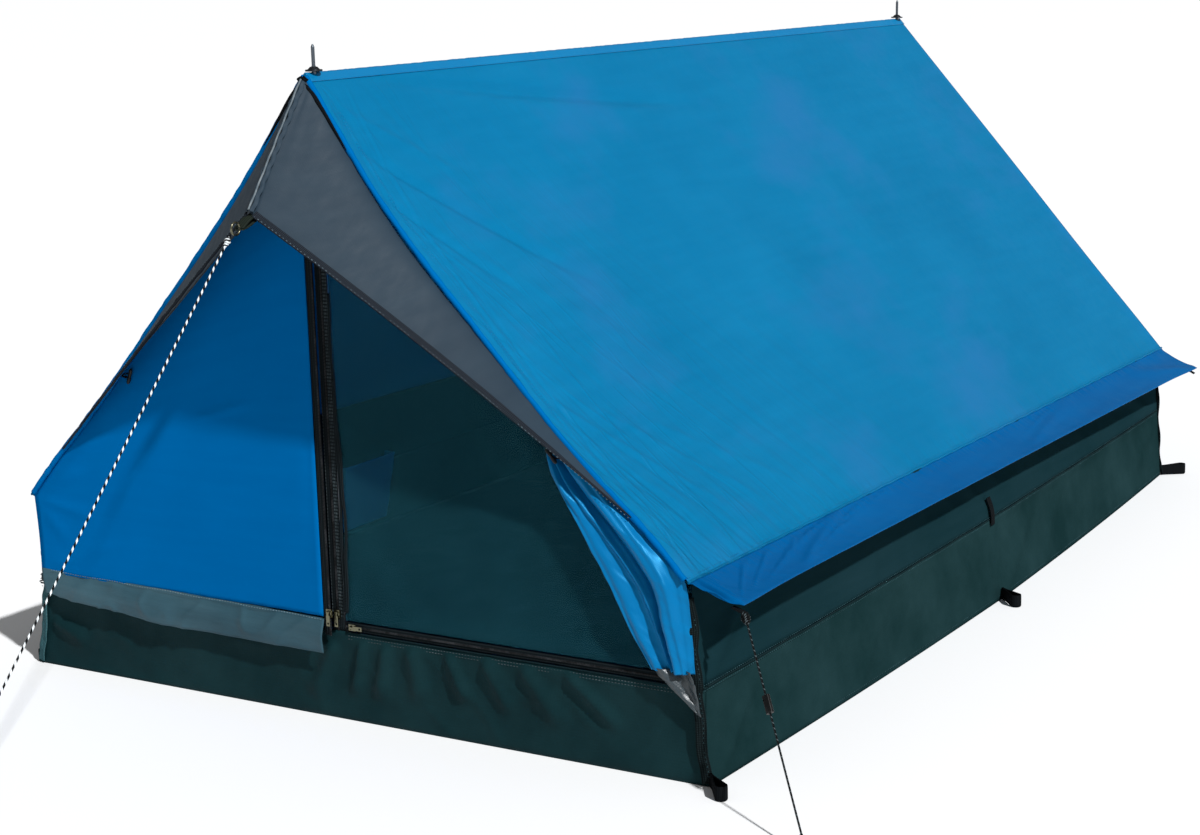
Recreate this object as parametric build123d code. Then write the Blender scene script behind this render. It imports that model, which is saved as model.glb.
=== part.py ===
from build123d import *
import math
import os

os.makedirs("parts", exist_ok=True)

# Two-person ridge tent with one upright pole at each end and a beak over the door.
# Millimetres. +X right, +Y to the rear, +Z up, origin at the middle of the groundsheet's underside.
# The door is at -Y. "Out" means away from the cabin, through the front or the rear wall.

# ---- driving dimensions -------------------------------------------------------------------------
FLOOR_WIDTH = 1200
FLOOR_LENGTH = 1950
RIDGE_HEIGHT = 921
EAVE_HALF_WIDTH = 578
EAVE_HEIGHT_FRONT = 276     # at the roof's front edge
EAVE_HEIGHT_REAR = 252      # at the roof's rear edge
FLOOR_BULGE = 30            # the side peg loops pull the floor's long edges out by this much
SEAM_HEIGHT = 132           # top of the coated tub walls
FABRIC = 2                  # every sewn panel
SEAM_GAP = 0.25             # between panels that meet along a seam
ROOF_FRONT = 10             # roof ahead of the front wall
ROOF_REAR = 59              # roof behind the rear wall's foot
REAR_LEAN = 54              # the rear wall's top stands this far behind its foot

EAVE_FLAP_WIDTH = 75        # right eave flap, guyed out
EAVE_FLAP_DROP_FRONT = 22
EAVE_FLAP_DROP_REAR = 36
HANGING_FLAP = 80           # left eave flap, hanging

BEAK_TIP_OUT = 141          # from the front wall
BEAK_TIP_HEIGHT = 749
BEAK_FOOT_HEIGHT = 352      # where the beak's hem meets the roof edge

ZIP_TAPE_WIDTH = 16
CENTRE_TAPE_HALF = 13
ZIP_TAPE = 1                # thickness
COIL_WIDTH = 5
COIL_RISE = 1.5             # coil in front of the tape
CENTRE_ZIP_TOP = 880

DOOR_OUT = 6                # the outer door hangs this far ahead of the front wall
DOOR_FABRIC = 1.5
DOOR_BOTTOM = 153
FLAP_BOTTOM = 100           # lower edge of the door's grey flap
FOLD_GAP = 2                # between a swinging leaf and the strip beside it

POLE_DIAMETER = 14
POLE_WALL = 1
POLE_INSET = 10.5           # pole axis behind the wall's outer face
SPIKE_DIAMETER = 5          # free end, above the washer
SPIKE_NECK = 6              # diameter through the washer
SPIKE_NECK_TOP = 10         # above the ridge
SPIKE_TOP = 39
SPIKE_POINT = 4             # length of the tapered tip

PEG_LOOP_LENGTH = 54
PEG_LOOP_EYE = 7            # radius
WEBBING_WIDTH = 20
WEBBING = 2                 # thickness

CORD_DIAMETER = 3

# ---- derived places -----------------------------------------------------------------------------
FRONT = -FLOOR_LENGTH / 2
REAR = FLOOR_LENGTH / 2
FLOOR_HALF = FLOOR_WIDTH / 2
SILL = SEAM_HEIGHT + ZIP_TAPE_WIDTH / 2
LEAN_ANGLE = math.degrees(math.atan2(REAR_LEAN, RIDGE_HEIGHT))
FRONT_PLACE = Location((0, FRONT, 0))
REAR_PLACE = Location((0, REAR, 0)) * Rotation(-LEAN_ANGLE, 0, 0) * Rotation(0, 0, 180)
REAR_STRETCH = 1 / math.cos(math.radians(LEAN_ANGLE))   # height along the leaning wall
RIDGE = (0, RIDGE_HEIGHT)

nodes = {}


# ---- flat geometry in a cross-section, points as (x, z) ------------------------------------------
def towards(start, end):
    """Unit direction from one point to another."""
    length = math.dist(start, end)
    return (end[0] - start[0]) / length, (end[1] - start[1]) / length


def inset(point, direction, depth):
    """The point moved to the left of a direction."""
    return point[0] - depth * direction[1], point[1] + depth * direction[0]


def crossing(p, u, q, v):
    """Where the line through p along u meets the line through q along v."""
    k = ((q[0] - p[0]) * v[1] - (q[1] - p[1]) * v[0]) / (u[0] * v[1] - u[1] * v[0])
    return p[0] + k * u[0], p[1] + k * u[1]


def mitre(before, corner, after, depth):
    """The corner of a line drawn at a depth to the left of before-corner-after."""
    u, v = towards(before, corner), towards(corner, after)
    return crossing(inset(corner, u, depth), u, inset(corner, v, depth), v)


def shifted(start, end, depth):
    """A whole line moved to its left."""
    direction = towards(start, end)
    return inset(start, direction, depth), inset(end, direction, depth)


def x_at(line, height):
    (x0, z0), (x1, z1) = line
    return x0 + (x1 - x0) * (height - z0) / (z1 - z0)


def z_at(line, x):
    (x0, z0), (x1, z1) = line
    return z0 + (z1 - z0) * (x - x0) / (x1 - x0)


def flipped(points):
    """The same points on the other side of the tent."""
    return [(-x, z) for x, z in points]


# ---- cross-sections of the shell, right half -----------------------------------------------------
def eave_height(y):
    """The eaves are straight lines that fall towards the rear."""
    start, end = FRONT - ROOF_FRONT, REAR + ROOF_REAR
    return EAVE_HEIGHT_FRONT + (EAVE_HEIGHT_REAR - EAVE_HEIGHT_FRONT) * (y - start) / (end - start)


class Section:
    """Outer and inner corners of the shell: floor, tub seam, eave, ridge."""

    def __init__(self, y):
        floor_half = FLOOR_HALF + FLOOR_BULGE * (1 - min(1, abs(y) / REAR))
        eave_height_here = eave_height(y)
        foot = (floor_half, 0)
        self.eave = (EAVE_HALF_WIDTH, eave_height_here)
        self.wall = (foot, self.eave)
        bottom = (x_at(self.wall, FABRIC), FABRIC)
        seam = (x_at(self.wall, SEAM_HEIGHT), SEAM_HEIGHT)
        inner_wall = shifted(foot, self.eave, FABRIC)
        self.outer = [bottom, seam, self.eave, RIDGE]
        self.inner = [
            (x_at(inner_wall, FABRIC), FABRIC),
            inset(seam, towards(foot, self.eave), FABRIC),
            mitre(foot, self.eave, RIDGE, FABRIC),
            mitre(self.eave, RIDGE, (-self.eave[0], self.eave[1]), FABRIC),
        ]
        self.inner_wall = inner_wall
        self.inner_roof = (self.inner[2], self.inner[3])

    def strip(self, index):
        """The four corners of one panel's cut: 0 tub wall, 1 side strip, 2 roof."""
        outer, inner = self.outer, self.inner
        corners = [outer[index], outer[index + 1], inner[index + 1], inner[index]]
        if index == 1:
            corners[1], corners[2] = [(x, z - SEAM_GAP) for x, z in corners[1:3]]
        return corners


front_section = Section(FRONT)
middle_section = Section(0)
rear_section = Section(REAR + REAR_LEAN * EAVE_HEIGHT_REAR / RIDGE_HEIGHT)
wall_sections = (front_section, middle_section, rear_section)
roof_sections = (Section(FRONT - ROOF_FRONT), middle_section, Section(REAR + ROOF_REAR))


def wall_ends(corners, place):
    """Places a cut's corners at the front, the middle or the leaning rear wall."""
    if place == "front":
        return [(x, FRONT, z) for x, z in corners]
    if place == "middle":
        return [(x, 0, z) for x, z in corners]
    return [(x, REAR + REAR_LEAN * z / RIDGE_HEIGHT, z) for x, z in corners]


def roof_ends(corners, place):
    """Places a cut's corners where the roof begins, at the middle or where the roof ends."""
    depth = {"front": FRONT - ROOF_FRONT, "middle": 0, "rear": REAR + ROOF_REAR}[place]
    return [(x, depth, z) for x, z in corners]


def loft_panel(cuts, ends):
    """One panel through its cuts at the front, the middle and the rear."""
    places = ("front", "middle", "rear")
    wires = [Wire.make_polygon(ends(cut, place)) for cut, place in zip(cuts, places)]
    return Solid.make_loft(wires, ruled=True)


def faceted_panel(cuts, ends):
    """A panel of four-cornered cuts with flat faces only, split alike on its outer and inner sides."""
    places = ("front", "middle", "rear")
    rings = [[Vector(*point) for point in ends(cut, place)] for cut, place in zip(cuts, places)]
    outlines = [rings[0], rings[-1]]
    for near, far in zip(rings, rings[1:]):
        for first in range(4):
            second = (first + 1) % 4
            a, b, c, d = near[first], near[second], far[second], far[first]
            outlines += [(a, b, c), (a, c, d)] if first < 2 else [(a, b, d), (b, c, d)]
    return Solid(Shell([Face(Wire.make_polygon(outline)) for outline in outlines])).fix()


# ---- small makers -------------------------------------------------------------------------------
def slab(points, near, far):
    """A flat piece parallel to the front wall, between two distances out from it."""
    sheet = Plane.XZ.offset(near) * Polygon(*points, align=None)
    return extrude(sheet, amount=far - near, dir=(0, -1, 0)).solid()


def rod(start, end, diameter):
    axis = Vector(*end) - Vector(*start)
    return Solid.make_cylinder(diameter / 2, axis.length, Plane(origin=start, z_dir=axis))


def half_space(low, high):
    """A box between two corners, to cut with."""
    size = [b - a for a, b in zip(low, high)]
    return Pos(*low) * Box(*size, align=Align.MIN)


def out(x, distance, height):
    """A point ahead of the front wall."""
    return x, FRONT - distance, height


def save(name, *solids):
    nodes[name] = solids[0] if len(solids) == 1 else Compound(list(solids))


# ---- shell: floor, tub, side strips, roof --------------------------------------------------------
def make_floor():
    half, bulge = FLOOR_HALF, FLOOR_HALF + FLOOR_BULGE
    outline = [(-half, FRONT), (half, FRONT), (bulge, 0), (half, REAR), (-half, REAR), (-bulge, 0)]
    save("groundsheet", extrude(Polygon(*outline, align=None), amount=FABRIC, dir=(0, 0, 1)).solid())


def make_side_panels():
    for index, name in ((0, "tub_wall"), (1, "side_strip")):
        panel = loft_panel([section.strip(index) for section in wall_sections], wall_ends)
        save(name + "_right", panel)
        save(name + "_left", mirror(panel, about=Plane.YZ))


def spike_holes():
    """Clearance for both pole spikes through the ridge."""
    clearance = Pos(0, POLE_INSET, RIDGE_HEIGHT) * Cylinder(SPIKE_NECK / 2 + 1.5, 40)
    return FRONT_PLACE * clearance + REAR_PLACE * clearance


def make_roof():
    panel = loft_panel([section.strip(2) for section in roof_sections], roof_ends) - spike_holes()
    save("roof_panel_right", panel.solid())
    save("roof_panel_left", mirror(panel, about=Plane.YZ).solid())


def make_eave_flaps():
    """The roof's margins below the eaves: guyed out on the right, hanging on the left."""
    drops = (EAVE_FLAP_DROP_FRONT, (EAVE_FLAP_DROP_FRONT + EAVE_FLAP_DROP_REAR) / 2,
             EAVE_FLAP_DROP_REAR)
    right, left = [], []
    for section, drop in zip(roof_sections, drops):
        x, z = section.eave[0] + SEAM_GAP, section.eave[1]
        under = (x_at(section.wall, z - FABRIC) + SEAM_GAP, z - FABRIC)
        hem = (x + EAVE_FLAP_WIDTH, z - drop)
        right.append([(x, z), hem, (hem[0], hem[1] - FABRIC), under])
        foot_x = x_at(section.wall, z - HANGING_FLAP) + 6
        hem = (foot_x + FABRIC, z - HANGING_FLAP)
        left.append(flipped([(x, z), hem, (foot_x, hem[1]), under]))
    save("eave_flap_right", faceted_panel(right, roof_ends))
    save("eave_flap_left", faceted_panel(left, roof_ends))


def make_ridge_tape():
    width, rise = 16, 0.8
    tapes = []
    for section in (roof_sections[0], roof_sections[-1]):
        across, down = towards(RIDGE, section.eave)
        edge = (width * across, RIDGE_HEIGHT + width * down)
        lift = rise / across
        tapes.append([flipped([edge])[0], RIDGE, edge, (edge[0], edge[1] + lift),
                      (0, RIDGE_HEIGHT + lift), flipped([(edge[0], edge[1] + lift)])[0]])
    ends = [roof_ends(tapes[0], "front"), roof_ends(tapes[1], "rear")]
    tape = Solid.make_loft([Wire.make_polygon(points) for points in ends], ruled=True)
    save("ridge_tape", (tape - spike_holes()).solid())


# ---- front wall ---------------------------------------------------------------------------------
def tub_end(section, stretch=1.0, gap=0.0):
    """The outline of a tub end wall, between the side walls."""
    line = shifted(*section.inner_wall, gap)
    right = [(x_at(line, z), z * stretch) for z in (FABRIC, SEAM_HEIGHT)]
    return right + flipped(right)[::-1]


def make_tub_ends():
    save("tub_wall_front", FRONT_PLACE * slab(tub_end(front_section), -FABRIC, 0))
    save("tub_wall_rear", REAR_PLACE * slab(tub_end(rear_section, REAR_STRETCH, 0.3), -FABRIC, 0))


def make_zips():
    """The mesh door's coil zips: one up the middle, one along each half of the sill."""
    inner_x = x_at(shifted(*front_section.inner_wall, 1), SEAM_HEIGHT + ZIP_TAPE_WIDTH)
    start_x = CENTRE_TAPE_HALF + 0.4
    tape = slab([(start_x, SEAM_HEIGHT), (inner_x, SEAM_HEIGHT),
                 (inner_x, SEAM_HEIGHT + ZIP_TAPE_WIDTH), (start_x, SEAM_HEIGHT + ZIP_TAPE_WIDTH)],
                -FABRIC, -FABRIC + ZIP_TAPE)
    low, high = SILL - COIL_WIDTH / 2, SILL + COIL_WIDTH / 2
    coil_end = inner_x - 8
    coil = slab([(start_x, low), (coil_end, low), (coil_end, high), (start_x, high)],
                -FABRIC + ZIP_TAPE, -FABRIC + ZIP_TAPE + COIL_RISE)
    sill = FRONT_PLACE * (tape + coil)

    def upright(half):
        return [(-half, SEAM_HEIGHT), (half, SEAM_HEIGHT), (half, CENTRE_ZIP_TOP), (-half, CENTRE_ZIP_TOP)]

    tape = slab(upright(CENTRE_TAPE_HALF), -FABRIC, -FABRIC + ZIP_TAPE)
    coil = slab(upright(COIL_WIDTH / 2), -FABRIC + ZIP_TAPE, -FABRIC + ZIP_TAPE + COIL_RISE)
    centre = FRONT_PLACE * (tape + coil)
    save("mesh_zips", centre.solid(), sill.solid(), mirror(sill, about=Plane.YZ).solid())


def fold_line(free_x, bottom, top):
    """The line a door half swings on, right side: from the wall's foot to the top of its zip."""
    inner_wall = shifted(*front_section.inner_wall, 0.5)
    return (x_at(inner_wall, bottom), bottom), (free_x, top)


def leaf_and_strip(free_x, bottom, top):
    """A door half, right side: the swinging triangle, and the sewn-in strip beyond its fold."""
    inner_wall = shifted(*front_section.inner_wall, 0.5)
    fold = fold_line(free_x, bottom, top)
    roof = shifted(*front_section.inner_roof, 0.5)
    leaf_fold, strip_fold = shifted(*fold, FOLD_GAP / 2), shifted(*fold, -FOLD_GAP / 2)
    leaf = [(free_x, bottom), (x_at(leaf_fold, bottom), bottom), (free_x, z_at(leaf_fold, free_x))]
    eave = crossing(inner_wall[0], towards(*inner_wall), roof[0], towards(*roof))
    strip_corner = crossing(inner_wall[0], towards(*inner_wall), strip_fold[0], towards(*strip_fold))
    strip = [strip_corner, eave, (free_x, z_at(roof, free_x)), (free_x, z_at(strip_fold, free_x))]
    return leaf, strip


MESH_FREE_X = CENTRE_TAPE_HALF + 0.6
MESH_BOTTOM = SEAM_HEIGHT + ZIP_TAPE_WIDTH + 1
DOOR_FREE_X = 19.5          # edge of the outer door's fabric
DOOR_ZIP_X = 7              # outer edge of its zip half
DOOR_ZIP_TEETH = 3
DOOR_FOLD_TOP = CENTRE_ZIP_TOP - 10


def make_mesh_doors():
    leaf, strip = leaf_and_strip(MESH_FREE_X, MESH_BOTTOM, CENTRE_ZIP_TOP)
    swinging = FRONT_PLACE * slab(leaf, -FABRIC, 0)
    save("mesh_leaf_right", swinging)
    save("mesh_leaf_left", mirror(swinging, about=Plane.YZ))
    sewn = FRONT_PLACE * slab(strip, -FABRIC, 0)
    save("mesh_strips", sewn, mirror(sewn, about=Plane.YZ))


def make_outer_door():
    """Left half of the outer door: leaf, grey flap and zip half swing, the strip is sewn in."""
    far = DOOR_OUT + DOOR_FABRIC
    leaf, strip = leaf_and_strip(DOOR_FREE_X, DOOR_BOTTOM, DOOR_FOLD_TOP)
    save("door_leaf_left", FRONT_PLACE * slab(flipped(leaf), DOOR_OUT, far))
    save("door_strip_left", FRONT_PLACE * slab(flipped(strip), DOOR_OUT, far))
    right_x, left_x = -DOOR_FREE_X, -leaf[1][0]
    flap = [(left_x, FLAP_BOTTOM), (right_x, FLAP_BOTTOM), (right_x, DOOR_BOTTOM), (left_x, DOOR_BOTTOM)]
    save("door_flap_left", FRONT_PLACE * slab(flap, DOOR_OUT, far))
    zip_top = leaf[2][1] - 12
    zip_foot = FLAP_BOTTOM + 25

    def upright(inner, outer):
        return [(-inner, zip_foot), (-outer, zip_foot), (-outer, zip_top), (-inner, zip_top)]

    zip_half = slab(upright(DOOR_FREE_X, DOOR_ZIP_X), DOOR_OUT, DOOR_OUT + ZIP_TAPE)
    teeth = upright(DOOR_ZIP_X + DOOR_ZIP_TEETH, DOOR_ZIP_X)
    zip_half += slab(teeth, DOOR_OUT + ZIP_TAPE, DOOR_OUT + ZIP_TAPE + 1)
    save("door_zip_left", (FRONT_PLACE * zip_half).solid())


def make_tied_door():
    """Right half of the outer door, folded back against the roof edge and the wall."""
    roof_edge = shifted(front_section.eave, RIDGE, 16)
    near, far = DOOR_OUT + 1, DOOR_OUT + 17
    top = 452
    outline = [(470, DOOR_BOTTOM), (572, DOOR_BOTTOM), (566, 262), (x_at(roof_edge, 300), 300),
               (x_at(roof_edge, top), top), (352, 440), (381, 363), (440, 261)]
    save("tied_door_right", FRONT_PLACE * slab(outline, near, far))
    flap = [(474, FLAP_BOTTOM + 8), (588, FLAP_BOTTOM - 4), (583, DOOR_BOTTOM - 0.3),
            (466, DOOR_BOTTOM - 0.3)]
    save("tied_flap_right", FRONT_PLACE * slab(flap, near, near + 8))


def toggle(x, height, tilt, distance):
    """A barrel toggle on a short loop."""
    barrel = Rotation(0, tilt, 0) * Cylinder(4, 30)
    waist = Rotation(0, tilt, 0) * (Cylinder(6, 5) - Cylinder(3.2, 5))
    body = Pos(x, -distance, height) * (barrel - waist)
    return (FRONT_PLACE * body).solid()


def make_toggles():
    save("tie_toggles", toggle(-356, 478, 20, DOOR_OUT + DOOR_FABRIC + 4.2),
         toggle(402, 436, -40, DOOR_OUT + 17 + 4.2))


# ---- beak ---------------------------------------------------------------------------------------
BEAK_START = ROOF_FRONT + 1.9
BEAK_FABRIC = 1.5
beak_foot = (x_at((front_section.eave, RIDGE), BEAK_FOOT_HEIGHT), BEAK_FOOT_HEIGHT)
BEAK_CORNERS = [out(0, BEAK_START, RIDGE_HEIGHT - 2), out(0, BEAK_TIP_OUT, BEAK_TIP_HEIGHT),
                out(beak_foot[0] - 1, BEAK_START, beak_foot[1] - 1)]


def make_beak():
    apex, tip, foot = (Vector(*corner) for corner in BEAK_CORNERS)
    face = Face(Wire.make_polygon([apex, tip, foot]))
    inward = (foot - apex).cross(tip - apex).normalized()
    if inward.Z > 0:
        inward = -inward
    plate = extrude(face, amount=BEAK_FABRIC, dir=inward)
    keep = half_space((0, FRONT - 400, 0), (700, FRONT - ROOF_FRONT - 1.6, 1000))
    panel = (plate & keep).solid()
    save("beak_panel_right", panel)
    save("beak_panel_left", mirror(panel, about=Plane.YZ))
    outward = inward * -1
    lift = Vector(0, 0, 3.2)
    piping = rod(apex + lift + Vector(0, -3, 0), tip + lift, 4)
    edge = (foot - tip).normalized()
    hem = rod(tip + edge * 8 + outward * 2.3, foot - edge * 12 + outward * 2.3, 4)
    save("beak_seams", piping, hem, mirror(hem, about=Plane.YZ))


def make_roof_edge():
    """Rolled binding on the roof's front edge."""
    depth = FABRIC + 2.5
    outer = shifted(front_section.eave, RIDGE, -1.2)
    inner = shifted(front_section.eave, RIDGE, depth)
    ridge_outer, ridge_inner = z_at(outer, 0.3), z_at(inner, 0.3)
    eave_x = EAVE_HALF_WIDTH - 4
    outline = [(0.3, ridge_inner), (eave_x, z_at(inner, eave_x)), (eave_x, z_at(outer, eave_x)),
               (0.3, ridge_outer)]
    strip = FRONT_PLACE * slab(outline, ROOF_FRONT + 0.05, ROOF_FRONT + 1.4)
    save("roof_edge_binding", strip, mirror(strip, about=Plane.YZ))


def make_beak_tip():
    tab_top, tab_end = BEAK_TIP_HEIGHT - 1, BEAK_TIP_HEIGHT - 18
    tab = Polygon((-BEAK_TIP_OUT - 2, tab_top + 5), (-BEAK_TIP_OUT - 2, tab_top - 12),
                  (-BEAK_TIP_OUT - 20, tab_end), (-BEAK_TIP_OUT - 20, tab_end + 7), align=None)
    tab = extrude(Plane.YZ * tab, amount=8, both=True).solid()
    save("beak_tip_tab", FRONT_PLACE * tab)
    ring = Pos(0, -BEAK_TIP_OUT - 30.5, tab_end - 2) * Rotation(0, 90, 0) * Torus(8.5, 1.5)
    save("beak_ring", (FRONT_PLACE * ring).solid())


# ---- rear wall ----------------------------------------------------------------------------------
VENT_BOTTOM, VENT_TOP = 600, 745
VENT_HALF_BOTTOM, VENT_HALF_TOP = 88, 26


def make_rear_wall():
    wall = shifted(*rear_section.inner_wall, 0.5)
    roof = shifted(*rear_section.inner_roof, 1.5)
    eave = crossing(wall[0], towards(*wall), roof[0], towards(*roof))
    right = [(x_at(wall, SEAM_HEIGHT + 0.2), SEAM_HEIGHT + 0.2), eave]
    outline = right + [(0, z_at(roof, 0))] + flipped(right)[::-1]
    outline = [(x, z * REAR_STRETCH) for x, z in outline]

    def vent(margin, bottom, top):
        low, high = VENT_HALF_BOTTOM + margin, VENT_HALF_TOP + margin
        return [(-low, bottom), (low, bottom), (high, top), (-high, top)]

    gable = slab(outline, -FABRIC, 0) - slab(vent(0, VENT_BOTTOM, VENT_TOP), -FABRIC - 5, 5)
    save("rear_gable", (REAR_PLACE * gable).solid())
    mesh = slab(vent(12, VENT_BOTTOM - 12, VENT_TOP + 12), -FABRIC - 1.1, -FABRIC - 0.1)
    save("vent_mesh", REAR_PLACE * mesh)
    cover = slab(vent(20, VENT_BOTTOM - 20, VENT_TOP + 14), 0.6, 2.1)
    save("vent_cover", REAR_PLACE * cover)


# ---- seams, straps, loops -----------------------------------------------------------------------
def corner_binding(section, stretch):
    """Bound corner seam, on the end of a side wall."""
    line_out = shifted(*section.wall, -1.5)
    line_in = shifted(*section.wall, 8)
    low, high = 4, section.eave[1] - 26
    outline = [(x_at(line_in, low), low), (x_at(line_out, low), low),
               (x_at(line_out, high), high), (x_at(line_in, high), high)]
    return slab([(x, z * stretch) for x, z in outline], 0.05, 1.3)


def make_corner_bindings():
    front = FRONT_PLACE * corner_binding(front_section, 1)
    rear = REAR_PLACE * corner_binding(rear_section, REAR_STRETCH)
    save("corner_bindings", front, mirror(front, about=Plane.YZ), rear, mirror(rear, about=Plane.YZ))


def peg_loop():
    """A folded webbing loop along +X, its eye open upwards."""
    centre = PEG_LOOP_LENGTH - PEG_LOOP_EYE - WEBBING
    outer = Pos(centre, 0) * Circle(PEG_LOOP_EYE + WEBBING)
    outer += Polygon((0, -WEBBING), (centre, -PEG_LOOP_EYE - WEBBING), (centre, PEG_LOOP_EYE + WEBBING),
                     (0, WEBBING), align=None)
    eye = Pos(centre, 0) * Circle(PEG_LOOP_EYE)
    eye += Polygon((12, -0.4), (centre, -PEG_LOOP_EYE), (centre, PEG_LOOP_EYE), (12, 0.4), align=None)
    return extrude(outer - eye, amount=WEBBING_WIDTH, dir=(0, 0, 1)).solid()


def make_peg_loops():
    """Three loops a side. The front left one is turned back along the side wall."""
    gap = 2.5
    places = [(FLOOR_HALF, FRONT, -45, 45), (FLOOR_HALF + FLOOR_BULGE, 0, -40, -40),
              (FLOOR_HALF, REAR, 45, 45)]
    loops = []
    for x, y, right_angle, left_angle in places:
        pair = []
        for angle in (right_angle, left_angle):
            turn = math.radians(angle)
            start = (x + gap * math.cos(turn), y + gap * math.sin(turn), 0.3)
            pair.append(Location(start, (0, 0, angle)) * peg_loop())
        loops += [pair[0], mirror(pair[1], about=Plane.YZ)]
    save("peg_loops", *loops)


def make_eave_tabs():
    """Webbing tabs at the four corners of the eave flaps."""
    tabs = []
    x = EAVE_HALF_WIDTH + EAVE_FLAP_WIDTH
    for y, z in ((FRONT - ROOF_FRONT + 9, EAVE_HEIGHT_FRONT - EAVE_FLAP_DROP_FRONT),
                 (REAR + ROOF_REAR - 9, EAVE_HEIGHT_REAR - EAVE_FLAP_DROP_REAR)):
        tabs.append(Pos(x - 6, y, z - FABRIC - 3.6) * Box(18, 12, 2))
    left_x = -x_at(front_section.wall, EAVE_HEIGHT_FRONT - HANGING_FLAP) - 6 - FABRIC - 2.4
    for y, z in ((FRONT - ROOF_FRONT + 9, EAVE_HEIGHT_FRONT - HANGING_FLAP),
                 (REAR + ROOF_REAR - 9, EAVE_HEIGHT_REAR - HANGING_FLAP)):
        tabs.append(Pos(left_x, y, z) * Box(2, 12, 18))
    save("eave_tabs", *[tab.solid() for tab in tabs])


def make_tie_straps():
    """A short webbing strap on each side wall, across the tub seam at mid length."""
    y, low, high = 12, 122, 168
    wall = shifted(*middle_section.wall, -0.6)
    face = shifted(*middle_section.wall, -0.6 - WEBBING)
    outline = [(x_at(wall, low), low), (x_at(face, low), low), (x_at(face, high), high),
               (x_at(wall, high), high)]
    strap = Pos(0, y, 0) * slab(outline, -8, 8)
    save("tie_straps", strap, mirror(strap, about=Plane.YZ))


def make_pocket():
    """Storage pocket sewn on the left tub wall, open at the top and towards the wall."""
    front_y, rear_y, low, high, depth = -205, -50, 22, 152, 24
    wall = Section((front_y + rear_y) / 2).wall

    def block(inner, outer, bottom, top, start, end):
        """Between two depths from the wall, two heights and two ends."""
        near, far = shifted(*wall, inner), shifted(*wall, outer)
        corners = [(x_at(near, bottom), bottom), (x_at(near, top), top),
                   (x_at(far, top), top), (x_at(far, bottom), bottom)]
        return Pos(0, start, 0) * slab(flipped(corners), start - end, 0)

    shell = block(-8, depth, low, high, front_y, rear_y)
    hollow = block(-9, depth - FABRIC, low + FABRIC, high + 9, front_y + FABRIC, rear_y - FABRIC)
    cuts = []
    for section in wall_sections:
        clear = shifted(*section.wall, FABRIC + 0.3)
        cuts.append(flipped([(x_at(clear, 0), 0), (x_at(clear, 280), 280), (720, 280), (720, 0)]))
    outside = loft_panel(cuts, wall_ends)
    save("storage_pocket", (shell - hollow - outside).solid())


# ---- poles --------------------------------------------------------------------------------------
JOINTS = (310, 620)         # heights where the pole sections meet
PLUG_LENGTH = 40
TOP_PLUG = 22


def pole_pieces(stretch):
    """Foot, three plugged sections and spike of one pole, standing at the origin."""
    radius, bore = POLE_DIAMETER / 2, POLE_DIAMETER / 2 - POLE_WALL
    bottom, top = FABRIC + 5, (RIDGE_HEIGHT - 16) * stretch
    standing = (Align.CENTER, Align.CENTER, Align.MIN)
    levels = (bottom,) + JOINTS + (top,)
    sections = []
    for low, high in zip(levels, levels[1:]):
        tube = Cylinder(radius, high - low, align=standing) - Cylinder(bore, high - low, align=standing)
        if high != top:
            plug_start = high - low - PLUG_LENGTH / 2
            plug = Cylinder(bore - 0.15, PLUG_LENGTH, align=standing)
            plug -= Cylinder(bore - 1.2, PLUG_LENGTH, align=standing)
            collar = Cylinder(bore, PLUG_LENGTH / 2, align=standing)
            collar -= Cylinder(bore - 1.2, PLUG_LENGTH / 2, align=standing)
            tube += Pos(0, 0, plug_start) * (plug + collar)
        sections.append((Pos(0, 0, low) * tube).solid())
    foot = Pos(0, 0, FABRIC + 0.1) * Cylinder(radius + 1, 4.9, align=standing)
    foot += Pos(0, 0, bottom) * Cylinder(bore - 0.15, 14, align=standing)
    neck = (RIDGE_HEIGHT + SPIKE_NECK_TOP) * stretch - top
    tip = (RIDGE_HEIGHT + SPIKE_TOP) * stretch - top
    spike = Pos(0, 0, -TOP_PLUG) * Cylinder(bore - 0.15, TOP_PLUG + 0.2, align=standing)
    spike += Pos(0, 0, 0.1) * Cylinder(radius, 2.5, align=standing)
    spike += Cylinder(SPIKE_NECK / 2, neck, align=standing)
    spike += Cylinder(SPIKE_DIAMETER / 2, tip - SPIKE_POINT, align=standing)
    spike += Pos(0, 0, tip - SPIKE_POINT) * Cone(SPIKE_DIAMETER / 2, 1, SPIKE_POINT, align=standing)
    return foot.solid(), sections, (Pos(0, 0, top) * spike).solid()


def make_poles():
    feet, spikes = [], []
    for end, place, stretch in (("front", FRONT_PLACE, 1), ("rear", REAR_PLACE, REAR_STRETCH)):
        stand = place * Pos(0, POLE_INSET, 0)
        foot, sections, spike = pole_pieces(stretch)
        feet.append(stand * foot)
        spikes.append(stand * spike)
        for level, section in zip(("lower", "middle", "upper"), sections):
            save(f"{end}_pole_{level}", stand * section)
    save("pole_feet", *feet)
    save("pole_spikes", *spikes)


def make_ridge_washers():
    """Domed washers that the spikes pass through."""
    washers = []
    for place, stretch in ((FRONT_PLACE, 1), (REAR_PLACE, REAR_STRETCH)):
        washer = Cylinder(12, 2.4) + Pos(0, 0, 3) * Cone(9, 5, 4)
        washer = fillet(washer.edges().filter_by(GeomType.CIRCLE), 0.6)
        washer -= Cylinder(SPIKE_NECK / 2 + 0.4, 20)
        height = (RIDGE_HEIGHT + 3.6) * stretch
        washers.append((place * Pos(0, POLE_INSET, height) * washer).solid())
    save("ridge_washers", *washers)


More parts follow.
